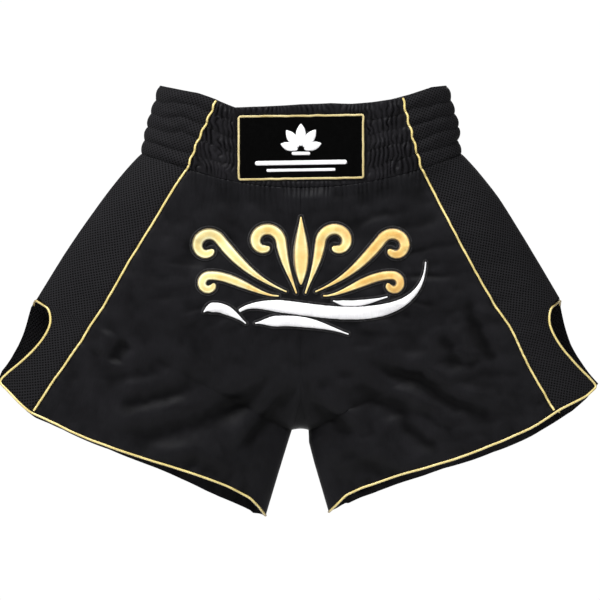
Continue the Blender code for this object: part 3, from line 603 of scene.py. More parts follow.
class Nodes:
    """Short calls for building a material's node tree."""

    def __init__(self, name):
        self.material = bpy.data.materials.new(name)
        self.material.use_nodes = True
        self.tree = self.material.node_tree
        self.shader = self.tree.nodes["Principled BSDF"]

    def give(self, socket, value):
        """Set an input to a constant, or link another node's output to it."""
        if isinstance(value, bpy.types.NodeSocket):
            self.tree.links.new(value, socket)
        else:
            socket.default_value = value

    def finish(self, colour, roughness, **values):
        """Set the shader's colour, roughness and other inputs by name, and give the material."""
        values = {"Base Color": colour, "Roughness": roughness, **values}
        for name, value in values.items():
            self.give(self.shader.inputs[name.replace("_", " ")], value)
        return self.material

    def add(self, kind, values=(), **settings):
        node = self.tree.nodes.new(kind)
        for key, value in settings.items():
            setattr(node, key, value)
        for key, value in dict(values).items():
            self.give(node.inputs[key], value)
        return node

    def uv(self, scale=(1, 1, 1), angle=0.0):
        source = self.add("ShaderNodeUVMap", uv_map="cloth")
        return self.add("ShaderNodeMapping", {"Vector": source.outputs["UV"], "Scale": scale,
                                              "Rotation": (0, 0, angle)}).outputs["Vector"]

    def place(self):
        return self.add("ShaderNodeTexCoord").outputs["Object"]

    def noise(self, vector, scale, detail=2.0, rough=0.5):
        return self.add("ShaderNodeTexNoise", {"Vector": vector, "Scale": scale, "Detail": detail,
                                               "Roughness": rough}).outputs["Fac"]

    def wave(self, vector, scale, axis="X", distortion=0.0):
        return self.add("ShaderNodeTexWave", {"Vector": vector, "Scale": scale,
                                              "Distortion": distortion},
                        bands_direction=axis).outputs["Fac"]

    def attribute(self, name):
        return self.add("ShaderNodeAttribute", attribute_name=name).outputs["Fac"]

    def math(self, operation, a, b=0.0):
        node = self.add("ShaderNodeMath", operation=operation)
        self.give(node.inputs[0], a)
        self.give(node.inputs[1], b)
        return node.outputs[0]

    def plus(self, a, b):
        return self.math("ADD", a, b)

    def times(self, a, b):
        return self.math("MULTIPLY", a, b)

    def remap(self, value, old, new):
        """Value from the range old to the range new, held inside it."""
        return self.add("ShaderNodeMapRange", {"Value": value, "From Min": old[0], "From Max": old[1],
                                               "To Min": new[0], "To Max": new[1]}).outputs["Result"]

    def ramp(self, factor, stops):
        node = self.add("ShaderNodeValToRGB", {"Fac": factor})
        elements = node.color_ramp.elements
        while len(elements) < len(stops):
            elements.new(0.5)
        for element, (place, colour) in zip(elements, stops):
            element.position = place
            element.color = (*colour, 1.0)
        return node.outputs["Color"]

    def mix(self, first, second, blend="MIX", factor=1.0):
        node = self.add("ShaderNodeMix", {"Factor": factor}, data_type="RGBA", blend_type=blend)
        colours = [socket for socket in node.inputs if socket.type == "RGBA"]
        self.give(colours[0], first)
        self.give(colours[1], second)
        return [socket for socket in node.outputs if socket.type == "RGBA"][0]

    def multiply(self, first, second):
        return self.mix(first, second, "MULTIPLY")

    def bump(self, height, strength, distance, normal=None):
        values = {"Height": height, "Strength": strength, "Distance": distance}
        if normal is not None:
            values["Normal"] = normal
        return self.add("ShaderNodeBump", values).outputs["Normal"]


STROKE_UV = 0.01    # how much of the UV's height one face of an embroidered stroke takes
MESH_PITCH, STITCH_PITCH = 0.0031, 0.0012


def grey(value, tint=(1.0, 1.0, 1.0)):
    return tuple(value * t for t in tint)


def satin_material(name, low, high, rough):
    """Black satin: a tight warp-faced weave, slubs along the warp, a soft gloss, and painted shade that
    darkens its colour in the valleys of folds and gathers.
    """
    n = Nodes(name)
    slub = n.noise(n.uv((2600, 90, 1)), 1.0, 3.0)
    cloud = n.noise(n.place(), 28.0, 3.0)
    weave_colour = n.ramp(n.times(n.plus(slub, cloud), 0.5), ((0.35, low), (0.65, high)))
    # Painted shade: the colour is darkened where the cloth lies below the cloth round it, to about a fifth
    # in the deepest valleys.
    shade = n.ramp(n.attribute("crest_shade"), ((0.0, grey(0.22)), (0.30, grey(0.62)), (0.55, grey(0.90)),
                                          (1.0, grey(1.0))))
    warp = n.wave(n.uv(), 1400.0, "X", 0.6)
    weft = n.wave(n.uv(), 420.0, "DIAGONAL", 0.8)
    weave = n.plus(n.times(warp, 0.6), n.times(weft, 0.4))
    return n.finish(n.multiply(weave_colour, shade), n.remap(cloud, (0.3, 0.7), rough),
                    Normal=n.bump(slub, 0.10, 0.0003, n.bump(weave, 0.18, 0.0002)),
                    Specular_IOR_Level=0.045, Anisotropic=0.3, Sheen_Weight=0.005, Sheen_Roughness=0.35)


def mesh_material():
    """Air mesh: staggered holes between soft knitted ribs; the holes are painted near black, for the dark
    cloth and the shade seen through them, and are not cut open.
    """
    n = Nodes("air_mesh")
    holes = n.add("ShaderNodeTexVoronoi", {"Vector": n.uv(angle=math.radians(38)),
                                           "Scale": 1 / MESH_PITCH, "Randomness": 0.05},
                  feature="F1").outputs["Distance"]
    # 0 in the holes, where the colour is painted near black for the dark cloth and shade seen through them;
    # this also gives the ribs' bump.
    rim = n.ramp(holes, ((0.20, grey(0.0)), (0.40, grey(1.0))))
    fuzz = n.noise(n.place(), 900.0, 2.0)
    cloud = n.noise(n.place(), 22.0, 2.0)
    mix = n.times(rim, n.plus(0.7, n.times(fuzz, 0.6)))
    shade = n.times(mix, n.plus(0.75, n.times(cloud, 0.5)))
    colour = n.ramp(shade, ((0.0, grey(0.0010)), (1.0, grey(0.0105, (1.0, 0.97, 1.08)))))
    knit = n.wave(n.uv(angle=math.radians(45)), 1500.0, "X", 0.5)
    return n.finish(colour, 0.72, Normal=n.bump(knit, 0.2, 0.0002, n.bump(rim, 0.8, 0.0006)),
                    Specular_IOR_Level=0.03, Sheen_Weight=0.005, Sheen_Roughness=0.5)


def cord_material():
    """Gold satin wrapped round a cord, its weave wound on the bias, with painted shade on its turned
    flanks, darker where they turn away from view.
    """
    n = Nodes("gold_cord")
    wind = n.wave(n.uv((1, 0.6, 1), math.radians(38)), 900.0, "X", 0.4)
    tone = n.noise(n.place(), 60.0, 3.0)
    body = n.ramp(n.plus(n.times(wind, 0.35), n.times(tone, 0.65)),
                  ((0.25, (0.42, 0.32, 0.085)), (0.55, (0.60, 0.49, 0.17)), (0.85, (0.74, 0.64, 0.30))))
    # Painted shade on the cord's flanks, by how far they turn away from view.
    turned = n.add("ShaderNodeLayerWeight", {"Blend": 0.5}).outputs["Facing"]
    flank_shade = n.ramp(turned, ((0.16, grey(1.0)), (0.60, (0.24, 0.19, 0.06))))
    return n.finish(n.multiply(body, flank_shade), 0.34, Normal=n.bump(wind, 0.25, 0.0002),
                    Specular_IOR_Level=0.6, Sheen_Weight=0.15)


def rib_scale(pitch):
    """Scale of a wave texture whose ribs are one pitch apart."""
    return 2.0 * math.pi / 20 / pitch


def thread_material(name, stops, by_place=False, pitch=0.00055, rim=None):
    """Satin-stitch embroidery: glossy threads laid side by side across the stroke, with painted shade
    between the threads. Its colour runs from left to right where by_place is set.
    Where rim is given, each stroke is darker and more orange in its middle, lightest near its edges, and in
    painted shade of the colour rim at its very edge."""
    n = Nodes(name)
    threads = n.wave(n.uv(), rib_scale(pitch), "X", 0.9)
    wander = n.noise(n.uv((1400, 160, 1)), 1.0, 2.0)
    if by_place:
        x = n.add("ShaderNodeSeparateXYZ", {"Vector": n.place()}).outputs["X"]
        along = n.remap(x, (-0.13, 0.13), (0.0, 1.0))
        mottle = n.math("SUBTRACT", n.noise(n.place(), 70.0, 2.0), 0.42)
        factor = n.plus(n.times(along, 0.62), n.times(mottle, 1.3))
    else:
        factor = n.noise(n.place(), 40.0, 3.0)
    colour = n.ramp(factor, stops)
    relief = n.plus(threads, wander)
    # Across each stroke: darker and more orange in the middle, lightest near the edges, and painted shade
    # at the very rim.
    if rim:
        across = n.add("ShaderNodeSeparateXYZ", {"Vector": n.uv()}).outputs["Y"]
        from_middle = n.math("SUBTRACT", n.math("DIVIDE", across, STROKE_UV / 2), 1.0)
        edges = n.ramp(n.math("ABSOLUTE", from_middle), (
            (0.0, (0.82, 0.70, 0.48)), (0.34, (0.86, 0.76, 0.56)), (0.60, grey(1.0)), (0.72, grey(1.0)),
            (0.92, rim)))
        colour = n.multiply(colour, edges)
    shade = n.plus(0.62, n.times(relief, 0.30))
    return n.finish(n.multiply(colour, shade), 0.45, Normal=n.bump(relief, 0.5, 0.00025),
                    Specular_IOR_Level=0.5, Anisotropic=0.5, Sheen_Weight=0.2)


def felt_material(name, low, high, stitch):
    """Felt with one row of fine stitches just inside its edge."""
    n = Nodes(name)
    fuzz = n.noise(n.place(), 700.0, 4.0, 0.7)
    row = n.ramp(n.math("DIVIDE", n.attribute("from_edge"), FELT_MARGIN),
                 ((0.16, grey(0.0)), (0.28, grey(1.0)), (0.36, grey(1.0)), (0.50, grey(0.0))))
    dots = n.ramp(n.noise(n.place(), 1 / STITCH_PITCH, 1.0), ((0.40, grey(0.0)), (0.55, grey(1.0))))
    stitches = n.multiply(row, dots)
    cloth = n.ramp(fuzz, ((0.3, low), (0.7, high)))
    return n.finish(n.mix(cloth, (*stitch, 1.0), factor=stitches), 0.9,
                    Normal=n.bump(n.plus(fuzz, stitches), 0.5, 0.0004),
                    Specular_IOR_Level=0.1, Sheen_Weight=0.05)


def twill_material(name, low, high, pitch=0.0007, level=0.1):
    """A dense diagonal twill."""
    n = Nodes(name)
    ribs = n.wave(n.uv(), rib_scale(pitch), "DIAGONAL", 0.5)
    slub = n.noise(n.place(), 300.0, 3.0)
    tone = n.times(n.plus(ribs, slub), 0.5)
    return n.finish(n.ramp(tone, ((0.2, low), (0.8, high))), 0.8, Normal=n.bump(ribs, 0.35, 0.0002),
                    Specular_IOR_Level=level)


def metal_material():
    """Plated steel with fine scratches."""
    n = Nodes("eyelet_steel")
    scratch = n.noise(n.place(), 1500.0, 3.0)
    return n.finish(n.ramp(scratch, ((0.3, grey(0.45)), (0.7, grey(0.68)))), 0.32,
                    Normal=n.bump(scratch, 0.1, 0.0001), Metallic=1.0)


SATIN = satin_material("black_satin", grey(0.0042, (1.0, 0.98, 1.12)),
                       grey(0.0086, (1.0, 0.98, 1.14)), (0.42, 0.54))
BAND_SATIN = satin_material("gathered_satin", grey(0.0046, (1.02, 0.97, 1.12)),
                            grey(0.0100, (1.02, 0.97, 1.14)), (0.42, 0.54))
LINING = satin_material("lining_satin", grey(0.006), grey(0.012), (0.5, 0.65))
AIR_MESH = mesh_material()
GOLD_CORD = cord_material()
# rim: the colour of the painted shade at each gold stroke's edge.
GOLD_THREAD = thread_material("gold_thread", (
    (0.10, (0.80, 0.74, 0.43)), (0.34, (0.78, 0.67, 0.32)), (0.52, (0.75, 0.57, 0.22)),
    (0.74, (0.68, 0.44, 0.13)), (0.95, (0.54, 0.32, 0.09))), by_place=True, rim=(0.12, 0.09, 0.03))
BORDER_THREAD = thread_material("border_thread", (
    (0.3, (0.38, 0.29, 0.10)), (0.6, (0.52, 0.43, 0.20))), pitch=0.0009)
WHITE_THREAD = thread_material("white_thread", (
    (0.3, (0.66, 0.655, 0.67)), (0.7, (0.77, 0.765, 0.78))))
FELT = felt_material("applique_felt", grey(0.0025), grey(0.0065), (0.034, 0.032, 0.036))
TWILL = twill_material("patch_twill", grey(0.0004), grey(0.0018), level=0.01)
LABEL = twill_material("label_tape", (0.66, 0.66, 0.64), (0.82, 0.82, 0.80), 0.0005, 0.3)
ELASTIC = twill_material("elastic_weave", (0.38, 0.37, 0.35), (0.52, 0.51, 0.48), 0.0012, 0.3)
STEEL = metal_material()


def fit(item, slot, *nodes, leg=None):
    """Hide the CAD nodes that a piece stands for; slot is not used. Without leg the piece
    is parented to the waist; with leg its transform is baked into its mesh."""
    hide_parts(*nodes)
    if leg is None:
        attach(item, "waist")
        return
    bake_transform(item)


# ------------------------------------------------------------------ waistband
CLOTH = 0.0006
BAND_ROWS, BODY_ROWS = 96, 236
LIP_STEPS, LIP_WIDTH, LIP_RISE = 6, 0.0026, 0.00156
LINING_INSET, LINING_COLUMNS = 0.0032, 560
ELASTIC_INSETS, ELASTIC_COLUMNS = (0.0013, 0.0022), 360
CORD_HOLE, HOLE_RADIUS, HOLE_FLAT = (0.014, -0.0573), 0.0022, 0.006


def with_lip(points, normal):
    """A band cloth, and above it rows that fold its top edge over to the lining."""
    outwards = normal[0] * np.array([1, 1, 0])
    outwards /= np.linalg.norm(outwards, axis=-1, keepdims=True)
    rows = []
    for angle in np.linspace(math.pi, 0, LIP_STEPS, endpoint=False):
        inward = (1 - math.cos(angle)) / 2 * LIP_WIDTH
        rows.append(points[0] - outwards * inward + np.array([0, 0, math.sin(angle) * LIP_RISE]))
    return np.concatenate([rows, points])


def band_front(face, name):
    """The gathered satin of the band, from piping to piping."""
    rows = np.linspace(0, 1, BAND_ROWS)[:, None]
    marks = np.linspace(-1, 1, 301)[None]
    reach = np.abs(marks) * seam_reach(rows)
    on_left = (marks >= 0)[..., None]
    halves = [surface(reach, rows, face, side) for side in (LEFT, RIGHT)]
    points, normal = [np.where(on_left, left, right) for left, right in zip(*halves)]
    # Painted shade: the gathers' valleys get darkened colour, and the folded lip is painted level.
    crest_shade = crests(points, face, 4)
    crest_shade = np.concatenate([np.full((LIP_STEPS, crest_shade.shape[1]), LEVEL), crest_shade])
    item = sheet("satin_band_" + name, with_lip(points, normal), BAND_SATIN, CLOTH, face == BACK, crest_shade)
    fit(item, "black_satin", "waistband_" + name)


def band_side(side, name):
    """The mesh of the band, from the front piping round the side fold to the back piping."""
    rows = np.linspace(0, 1, BAND_ROWS)[:, None]
    reach = 1 - (1 - seam_reach(rows)) * np.linspace(1, 0, 61)[None] ** 1.6
    halves = surface(reach, rows, FRONT, side), surface(reach[:, -2::-1], rows, BACK, side)
    points, normal = [np.concatenate(pair, 1) for pair in zip(*halves)]
    item = sheet("mesh_band_" + name, with_lip(points, normal), AIR_MESH, CLOTH, side == RIGHT)
    fit(item, "black_mesh", "waistband_side_" + name)


def ring_points(rows, inset, columns):
    """A closed ring grid round the waist: shape rows x columns."""
    marks = np.linspace(0, 4, columns, endpoint=False)
    quarter = np.floor(marks).astype(int)
    part = marks - quarter
    reach = np.where(quarter % 2 == 0, part, 1 - part)
    reach = 1 - (1 - reach) ** 1.5
    on_front = (quarter == 0) | (quarter == 3)
    on_left = quarter < 2
    rows = rows[:, None]
    ring = np.zeros((len(rows), columns, 3))
    for face, _ in FACES:
        for side, _ in SIDES:
            pick = (on_front == (face == FRONT)) & (on_left == (side == LEFT))
            grid = bare(reach[None, pick], rows, face, inset)
            dx, dz, _ = hang(reach[None, pick] + 0 * rows, rows, BACK, side)
            grid[..., 0] = grid[..., 0] * side + dx
            grid[..., 2] += dz
            ring[:, pick] = grid
    return ring


def lining():
    """The inner face of the casing, gathered between the elastic rows, with two cord holes."""
    rows = np.linspace(0.0, 0.985, 70)
    points = ring_points(rows, LINING_INSET, LINING_COLUMNS)
    column = np.arange(LINING_COLUMNS)[None]
    inward = -points * np.array([0.35, 1, 0])
    inward /= np.linalg.norm(inward, axis=-1, keepdims=True)
    roll = rolls(rows)[:, None]
    gather = pleats(column / LINING_COLUMNS * 1.05 / 0.006, rows[:, None] * GATHER_RUN, 97)
    relief = 0.0012 * roll + 0.0012 * (gather - 0.4) * (0.4 + 0.6 * roll)

    def from_hole(places):
        return np.hypot(np.abs(places[..., 0]) - CORD_HOLE[0], places[..., 2] - CORD_HOLE[1])
    flat = np.exp(-(from_hole(points) / HOLE_FLAT) ** 2) * (points[..., 1] < 0)
    points = points + inward * (relief * (1 - flat))[..., None]
    faces = grid_faces(len(rows), LINING_COLUMNS, flip=True, ring=True)
    centres = points.reshape(-1, 3)[faces].mean(1)
    faces = faces[~((from_hole(centres) < HOLE_RADIUS) & (centres[:, 1] < 0))]
    uv = np.stack(np.broadcast_arrays(column * 0.0019, -rows[:, None] * BAND_HEIGHT), -1)
    # Painted shade: the lining's colour is darkened in the stitched channels between the elastic rolls.
    crest_shade = np.broadcast_to(roll, points.shape[:2])
    item = finished("casing_lining", points, faces, uv, LINING, 0.0004, ("crest_shade", crest_shade))
    fit(item, "black_satin", "waistband_lining")


def elastics():
    """The five flat elastics, each a closed band inside its channel."""
    margin = (1 - ELASTIC_SHARE) / 2
    column = np.arange(ELASTIC_COLUMNS)[None]
    ripple = 0.00012 * np.cos(column * math.pi / 2)[..., None] * np.array([0, 1, 0])
    for index in range(ELASTIC_ROWS):
        rows = np.linspace((index + margin) / ELASTIC_ROWS, (index + 1 - margin) / ELASTIC_ROWS, 9)
        outer = ring_points(rows, ELASTIC_INSETS[0], ELASTIC_COLUMNS) + ripple
        inner = ring_points(rows[::-1], ELASTIC_INSETS[1], ELASTIC_COLUMNS)
        loop = np.concatenate([outer, inner, outer[:1]])
        uv = np.stack(np.broadcast_arrays(column * 0.0028, np.arange(len(loop))[:, None] * 0.0017), -1)
        faces = grid_faces(len(loop), ELASTIC_COLUMNS, ring=True)
        item = finished(f"elastic_band_{index + 1}", loop, faces, uv, ELASTIC)
        fit(item, "elastic", f"elastic_{index + 1}")


def eyelets():
    """The two steel rings round the cord holes."""
    for _, name in SIDES:
        bpy.ops.mesh.primitive_torus_add(major_segments=40, minor_segments=14, major_radius=0.0032,
                                         minor_radius=0.0007, rotation=(math.pi / 2, 0, 0))
        item = bpy.context.active_object
        item.name = "cord_eyelet_" + name
        low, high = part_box("eyelet_" + name)
        item.location = (low + high) / 2
        item.data.polygons.foreach_set("use_smooth", [True] * len(item.data.polygons))
        item.data.materials.append(STEEL)
        fit(item, "eyelet_metal", "eyelet_" + name)


def care_label():
    """A blank tape label, caught in the band's back seam and curling off it."""
    low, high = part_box("care_label")
    x = np.linspace(low.x, high.x, 34)[None]
    z = np.linspace(high.z, low.z, 46)[:, None]
    t = (high.z - z) / (high.z - low.z)
    y = low.y - 0.0024 * smooth(t / 0.25) - 0.0016 * t ** 2 - 0.0006 * np.sin(x * 160) * t
    points = np.stack(np.broadcast_arrays(x, y, z), -1)
    fit(sheet("care_label_tape", points, LABEL, 0.0003), "label_cloth", "care_label")


# ------------------------------------------------------------------ panels
TUCK_DEPTH, TUCK_RISE = 0.0006, 0.0009      # a panel's top edge goes up behind the band's lower edge
CENTRE_GROOVE = 0.0005, 0.0030              # depth and half width of the centre seam's groove
GUSSET_OVERLAP, GUSSET_BOW = 0.0012, (0.0008, 0.0018)


def satin_panel(face, face_name, side, name):
    """One satin panel from the band to the hem: body, crease and leg in one cloth."""
    rows = np.minimum(1 + 2 * np.linspace(0, 1, BODY_ROWS) ** 1.05, 3)[:, None]
    reach = np.linspace(0, 1, 131)[None] ** lerp(1.0, 1.25, clamp(rows - 1)) * seam_reach(rows)
    points, _ = surface(reach, rows, face, side)
    groove = CENTRE_GROOVE[0] * np.exp(-(points[..., 0] / CENTRE_GROOVE[1]) ** 2)
    points[..., 1] -= face * groove * (rows < 1.9)
    points[0] += np.array([0.0, -face * TUCK_DEPTH, TUCK_RISE])
    flip = (face == BACK) != (side == RIGHT)
    # Painted shade: the valleys of this panel's folds and gathers get darkened colour.
    item = sheet(f"satin_{face_name}_{name}", points, SATIN, CLOTH, flip, crests(points, face, 6))
    nodes = [f"{face_name}_{part}_{name}" for part in ("panel", "crease", "leg")]
    fit(item, "black_satin", *nodes, leg=(side, name))


def mesh_side(side, name):
    """The mesh side: one cloth round the hip, parting at the slit into two flaps."""
    rows = np.linspace(1, 3, 190)[:, None]
    halves = []
    for face, _ in FACES:
        end = np.where(rows > 2, slit_reach(rows, face), 1.0)
        reach = end - (end - seam_reach(rows)) * np.linspace(1, 0, 53)[None] ** 1.5
        halves.append(surface(reach, rows, face, side)[0])
    front, back = halves
    points = np.concatenate([front, back[:, ::-1]], 1)
    columns = points.shape[1]
    faces = grid_faces(len(rows), columns, flip=side == RIGHT)
    at_fold = np.tile(np.arange(columns - 1) == front.shape[1] - 1, len(rows) - 1)
    in_slit = np.repeat(rows[1:, 0] > 2.0, columns - 1)
    item = finished("mesh_side_" + name, points, faces[~(at_fold & in_slit)], arc_uv(points), AIR_MESH)
    weld = bmesh.new()
    weld.from_mesh(item.data)
    bmesh.ops.remove_doubles(weld, verts=weld.verts, dist=0.00002)
    weld.to_mesh(item.data)
    weld.free()
    thicken(item, CLOTH)
    nodes = [part + name for part in ("side_panel_", "front_flap_", "back_flap_")]
    fit(item, "black_mesh", *nodes, leg=(side, name))


def gusset():
    """The small satin diamond that joins the four panels at the crotch."""
    top = GUSSET_TOP_ROW - 0.02
    path = [(FRONT, row) for row in np.linspace(top, 2.0, 22)]
    path += [(BACK, row) for row in np.linspace(2.0, top, 22)[1:]]
    across = np.linspace(-1, 1, 15)
    bow = 1 - across ** 2
    points = []
    for face, row in path:
        edge = bare(0.0, row, face) + np.array([GUSSET_OVERLAP, -CLOTH * face, 0.0])
        on_right, on_left = [hang(np.array(0.0), np.array(row), face, side)[0] for side in (RIGHT, LEFT)]
        x = edge[0] * across + np.where(across < 0, on_right, on_left) * np.abs(across)
        y, z = edge[1] + face * GUSSET_BOW[0] * bow, edge[2] + GUSSET_BOW[1] * bow
        points.append(np.stack([x, y, z], -1))
    points = np.array(points)
    # Painted shade: the whole diamond is painted a little darker than level satin.
    item = sheet("crotch_diamond", points, SATIN, CLOTH, crest_shade=np.full(points.shape[:2], 0.4))
    fit(item, "black_satin", "crotch_gusset")


# ------------------------------------------------------------------ piping
PIPING_END = {FRONT: 2.974, BACK: 2.955}    # the rows where the side seams' cords end
SLIT_ROWS = 2.985, 2.045                    # where the hem cord starts up the slit, and its top
# The back's cord lies this much inside the cloth's edge and above it, and higher at the inseam.
BACK_INSIDE, BACK_LIFT, BACK_RISE = 0.010, 0.0016, 0.034

def piping(face, face_name, side, name):
    """The cord in one side seam, from the waist edge to just above the hem cord."""
    rows = np.concatenate([np.linspace(0.0, 1.0, 110), np.linspace(1.0, PIPING_END[face], 300)[1:]])
    points, _ = surface(seam_reach(rows), rows, face, side, lift=0.0005)
    points[:, 0] += side * 0.0007 * np.sin(2 * np.pi * ELASTIC_ROWS * rows) * (rows < 1)
    radius = PIPING_RADIUS * (1 + 0.05 * noise(np.arange(len(rows)) / 3.0, 0.5, 101 + side + face))
    item = tube(f"gold_piping_{face_name}_{name}", points, radius, GOLD_CORD)
    fit(item, "gold_piping", f"{face_name}_piping_{name}", f"{face_name}_leg_piping_{name}",
        leg=(side, name))


CORD_JOIN = (-0.058, -0.030, -0.447)    # where the ends of the right hem's cord overlap


def hem_cord(side, name):
    """One cord round the hem and up both edges of the slit."""
    halves, ends = [], []
    for face, _ in FACES:
        behind = float(face == BACK)
        reach = np.linspace(0, 1, 230) ** 1.2 * (slit_reach(2.99, face) - BACK_INSIDE * behind)
        past_inseam = smooth(reach / 0.03) * behind
        hem, _ = surface(reach, 3.0 - BACK_RISE * past_inseam, face, side, lift=BACK_LIFT * past_inseam)
        rows = np.linspace(SLIT_ROWS[0] - 0.03 * behind, SLIT_ROWS[1], 90)
        past_top = smooth((rows - SLIT_ROWS[1]) / 0.06) * behind
        slit, _ = surface(slit_reach(rows, face) - BACK_INSIDE * past_top, rows, face, side,
                          lift=BACK_LIFT * past_top)
        halves.append(np.concatenate([hem, slit]))
        ends.append(surface(1.0, 2.03, face, side)[0])
    top = (ends[0] + ends[1]) / 2 * np.array([1, 0, 1])
    loop = np.concatenate([halves[0], top[None], halves[1][::-1]])
    loop = resample(np.concatenate([loop, loop[:1]]), 0.0022)[:-1]
    for _ in range(2):
        loop = (np.roll(loop, 1, 0) + 2 * loop + np.roll(loop, -1, 0)) / 4
    radius = np.full(len(loop), PIPING_RADIUS)
    if side == RIGHT:
        to_join = np.linalg.norm(loop - CORD_JOIN, axis=1)
        radius *= (1 + 0.6 * np.exp(-(to_join / 0.0030) ** 2)
                   + 0.25 * np.exp(-((to_join - 0.007) / 0.002) ** 2))
    item = tube("gold_hem_" + name, loop, radius, GOLD_CORD, closed=True)
    fit(item, "gold_piping", "hem_cord_" + name, leg=(side, name))


# ------------------------------------------------------------------ embroidery

def ribbon_grid(path, half_width, height, lift, ground):
    """A domed satin-stitch stroke over the ground; path is x, z and half_width per point."""
    ahead = np.gradient(path, axis=0)
    ahead /= np.maximum(np.linalg.norm(ahead, axis=1, keepdims=True), 1e-12)
    sideways = np.stack([-ahead[:, 1], ahead[:, 0]], -1)
    v = np.linspace(-1, 1, 13)
    jitter = noise(np.arange(len(path))[:, None] / 1.3, np.sign(v)[None] * 3, 107)
    width = half_width[:, None] * (1 + 0.035 * jitter * np.abs(v)[None] ** 4)
    spots = path[:, None] + sideways[:, None] * (width * v[None])[..., None]
    dome = np.sqrt(np.maximum(0, 1 - v ** 2))[None]
    rise = height * dome * clamp(half_width / 0.003)[:, None] ** 0.55
    y = ground(spots[..., 0], spots[..., 1]) - lift - rise
    return np.stack([spots[..., 0], y, spots[..., 1]], -1)


def stroke(name, path, half_width, height, lift, ground, material):
    """A closed satin-stitch stroke: the dome on top and a flat underside."""
    top = ribbon_grid(path, half_width, height, lift, ground)
    under = top[:, ::-1].copy()
    under[..., 1] = np.maximum(top[:, :1, 1], top[:, -1:, 1]) + 0.0002
    loop = np.concatenate([top, under[:, 1:-1]], 1)
    count, columns = loop.shape[:2]
    around = np.linspace(0, 2 * STROKE_UV, columns)
    uv = np.stack(np.broadcast_arrays(arc_length(path)[:, None], around[None]), -1)
    return finished(name, loop, grid_faces(count, columns, ring=True), uv, material)


def bezier(points, t):
    points = [np.array(p, float)[None] for p in points]
    t = t[:, None]
    while len(points) > 1:
        points = [a + (b - a) * t for a, b in zip(points, points[1:])]
    return points[0]


def scroll_path(centre, radii, sweep, tip, pull, swell):
    t = np.linspace(0, 1, 60)
    angle = np.radians(sweep[0] + sweep[1] * t)
    radius = lerp(*radii, t ** 0.8)
    volute = np.array(centre) + radius[:, None] * np.stack([np.cos(angle), np.sin(angle)], -1)
    heading = volute[-1] - volute[-2]
    heading /= np.linalg.norm(heading)
    tip = np.array(tip)
    reach = np.linalg.norm(tip - volute[-1])
    knots = [volute[-1], volute[-1] + heading * reach * swell, tip + np.array(pull), tip]
    return np.concatenate([volute, bezier(knots, np.linspace(0, 1, 60)[1:])])


# As in the CAD: volute centre, radii, sweep, tip, pull, swell; then widths and fade.
SCROLLS = {
    "scroll_inner": (((0.0400, 0.0180), (0.0052, 0.0178), (-125, 305), (0.0050, -0.0400),
                      (0.0070, 0.0210), 0.45), (0.80, 1.10, 0.18, 0.50)),
    "scroll_upper": (((0.1055, 0.0130), (0.0052, 0.0162), (-150, 300), (0.0160, -0.0380),
                      (0.0280, 0.0120), 0.45), (0.80, 1.10, 0.15, 0.45)),
    "scroll_lower": (((0.1040, -0.0290), (0.0040, 0.0096), (-185, 280), (0.0250, -0.0425),
                      (0.0220, -0.0010), 0.32), (0.74, 0.90, 0.15, 0.50)),
}
FLOURISHES = {
    "flourish_sweep": (((-0.070, -0.060), (-0.040, -0.036), (0.040, -0.078), (0.140, -0.078),
                        (0.141, -0.004)), (0.30, 1.20, 0.12, 0.60)),
    "flourish_leaf_lower": (((-0.052, -0.0735), (-0.010, -0.0675), (0.014, -0.0715),
                             (0.054, -0.086)), (0.12, 1.00, 0.12, 0.45)),
    "flourish_leaf_left": (((-0.110, -0.061), (-0.100, -0.050), (-0.082, -0.056),
                            (-0.062, -0.074)), (0.12, 0.90, 0.12, 0.45)),
    "flourish_leaf_upper": (((0.036, -0.0480), (0.054, -0.0545), (0.076, -0.0500),
                             (0.098, -0.0435)), (0.12, 0.56, 0.12, 0.45)),
}
STROKE_HALF, STROKE_STEP = 0.0059, 0.00055
BUD_ENDS = -0.030, 0.047


def stroke_widths(path, start, middle, end, fade):
    """Half widths that swell from the start and thin to the end from the place fade."""
    t = arc_length(path)
    t = t / t[-1]
    swell = lerp(start, middle, smooth(t / 0.22))
    thin = lerp(middle, end, smooth((t - fade) / (1 - fade)))
    return STROKE_HALF * np.where(t < 0.40, swell, thin)


def round_tips(path, widths):
    """Widths that close each end of a stroke in a rounded tip."""
    s = arc_length(path)
    for distance in (s, s[-1] - s):
        tip = clamp(distance / np.maximum(widths * 0.9, 1e-6))
        widths = widths * np.sqrt(clamp(1 - (1 - tip) ** 2) + 1e-4)
    return widths


def applique_strokes():
    """Every stroke as (name, node, path in x and z, half widths, material, slot)."""
    made = []
    for node, (shape, widths) in SCROLLS.items():
        for side, name in SIDES:
            path = resample(scroll_path(*shape), STROKE_STEP)
            half = round_tips(path, stroke_widths(path, *widths))
            path = path * np.array([side, 1]) + np.array([0, APPLIQUE_Z])
            made.append((f"gold_{node}_{name}", f"{node}_{name}", path, half, GOLD_THREAD, "gold_thread"))
    t = np.linspace(0, 1, 110)
    path = np.stack([0 * t, APPLIQUE_Z + lerp(*BUD_ENDS, t)], -1)
    half = round_tips(path, STROKE_HALF * (0.15 + 1.40 * np.sin(np.pi * t ** 0.8) ** 1.2))
    made.append(("gold_scroll_bud", "scroll_bud", path, half, GOLD_THREAD, "gold_thread"))
    for node, (knots, widths) in FLOURISHES.items():
        path = resample(bezier(knots, np.linspace(0, 1, 160)), STROKE_STEP)
        half = round_tips(path, stroke_widths(path, *widths))
        path = path + np.array([0, APPLIQUE_Z])
        made.append(("white_" + node, node, path, half, WHITE_THREAD, "white_thread"))
    return made


FELT_LIFT, FELT_PITCH, FELT_THICKNESS, STROKE_RISE = 0.0011, 0.0010, 0.0005, 0.0016
FELT_X, FELT_Z = (-0.150, 0.156), (APPLIQUE_Z + 0.060, APPLIQUE_Z - 0.102)


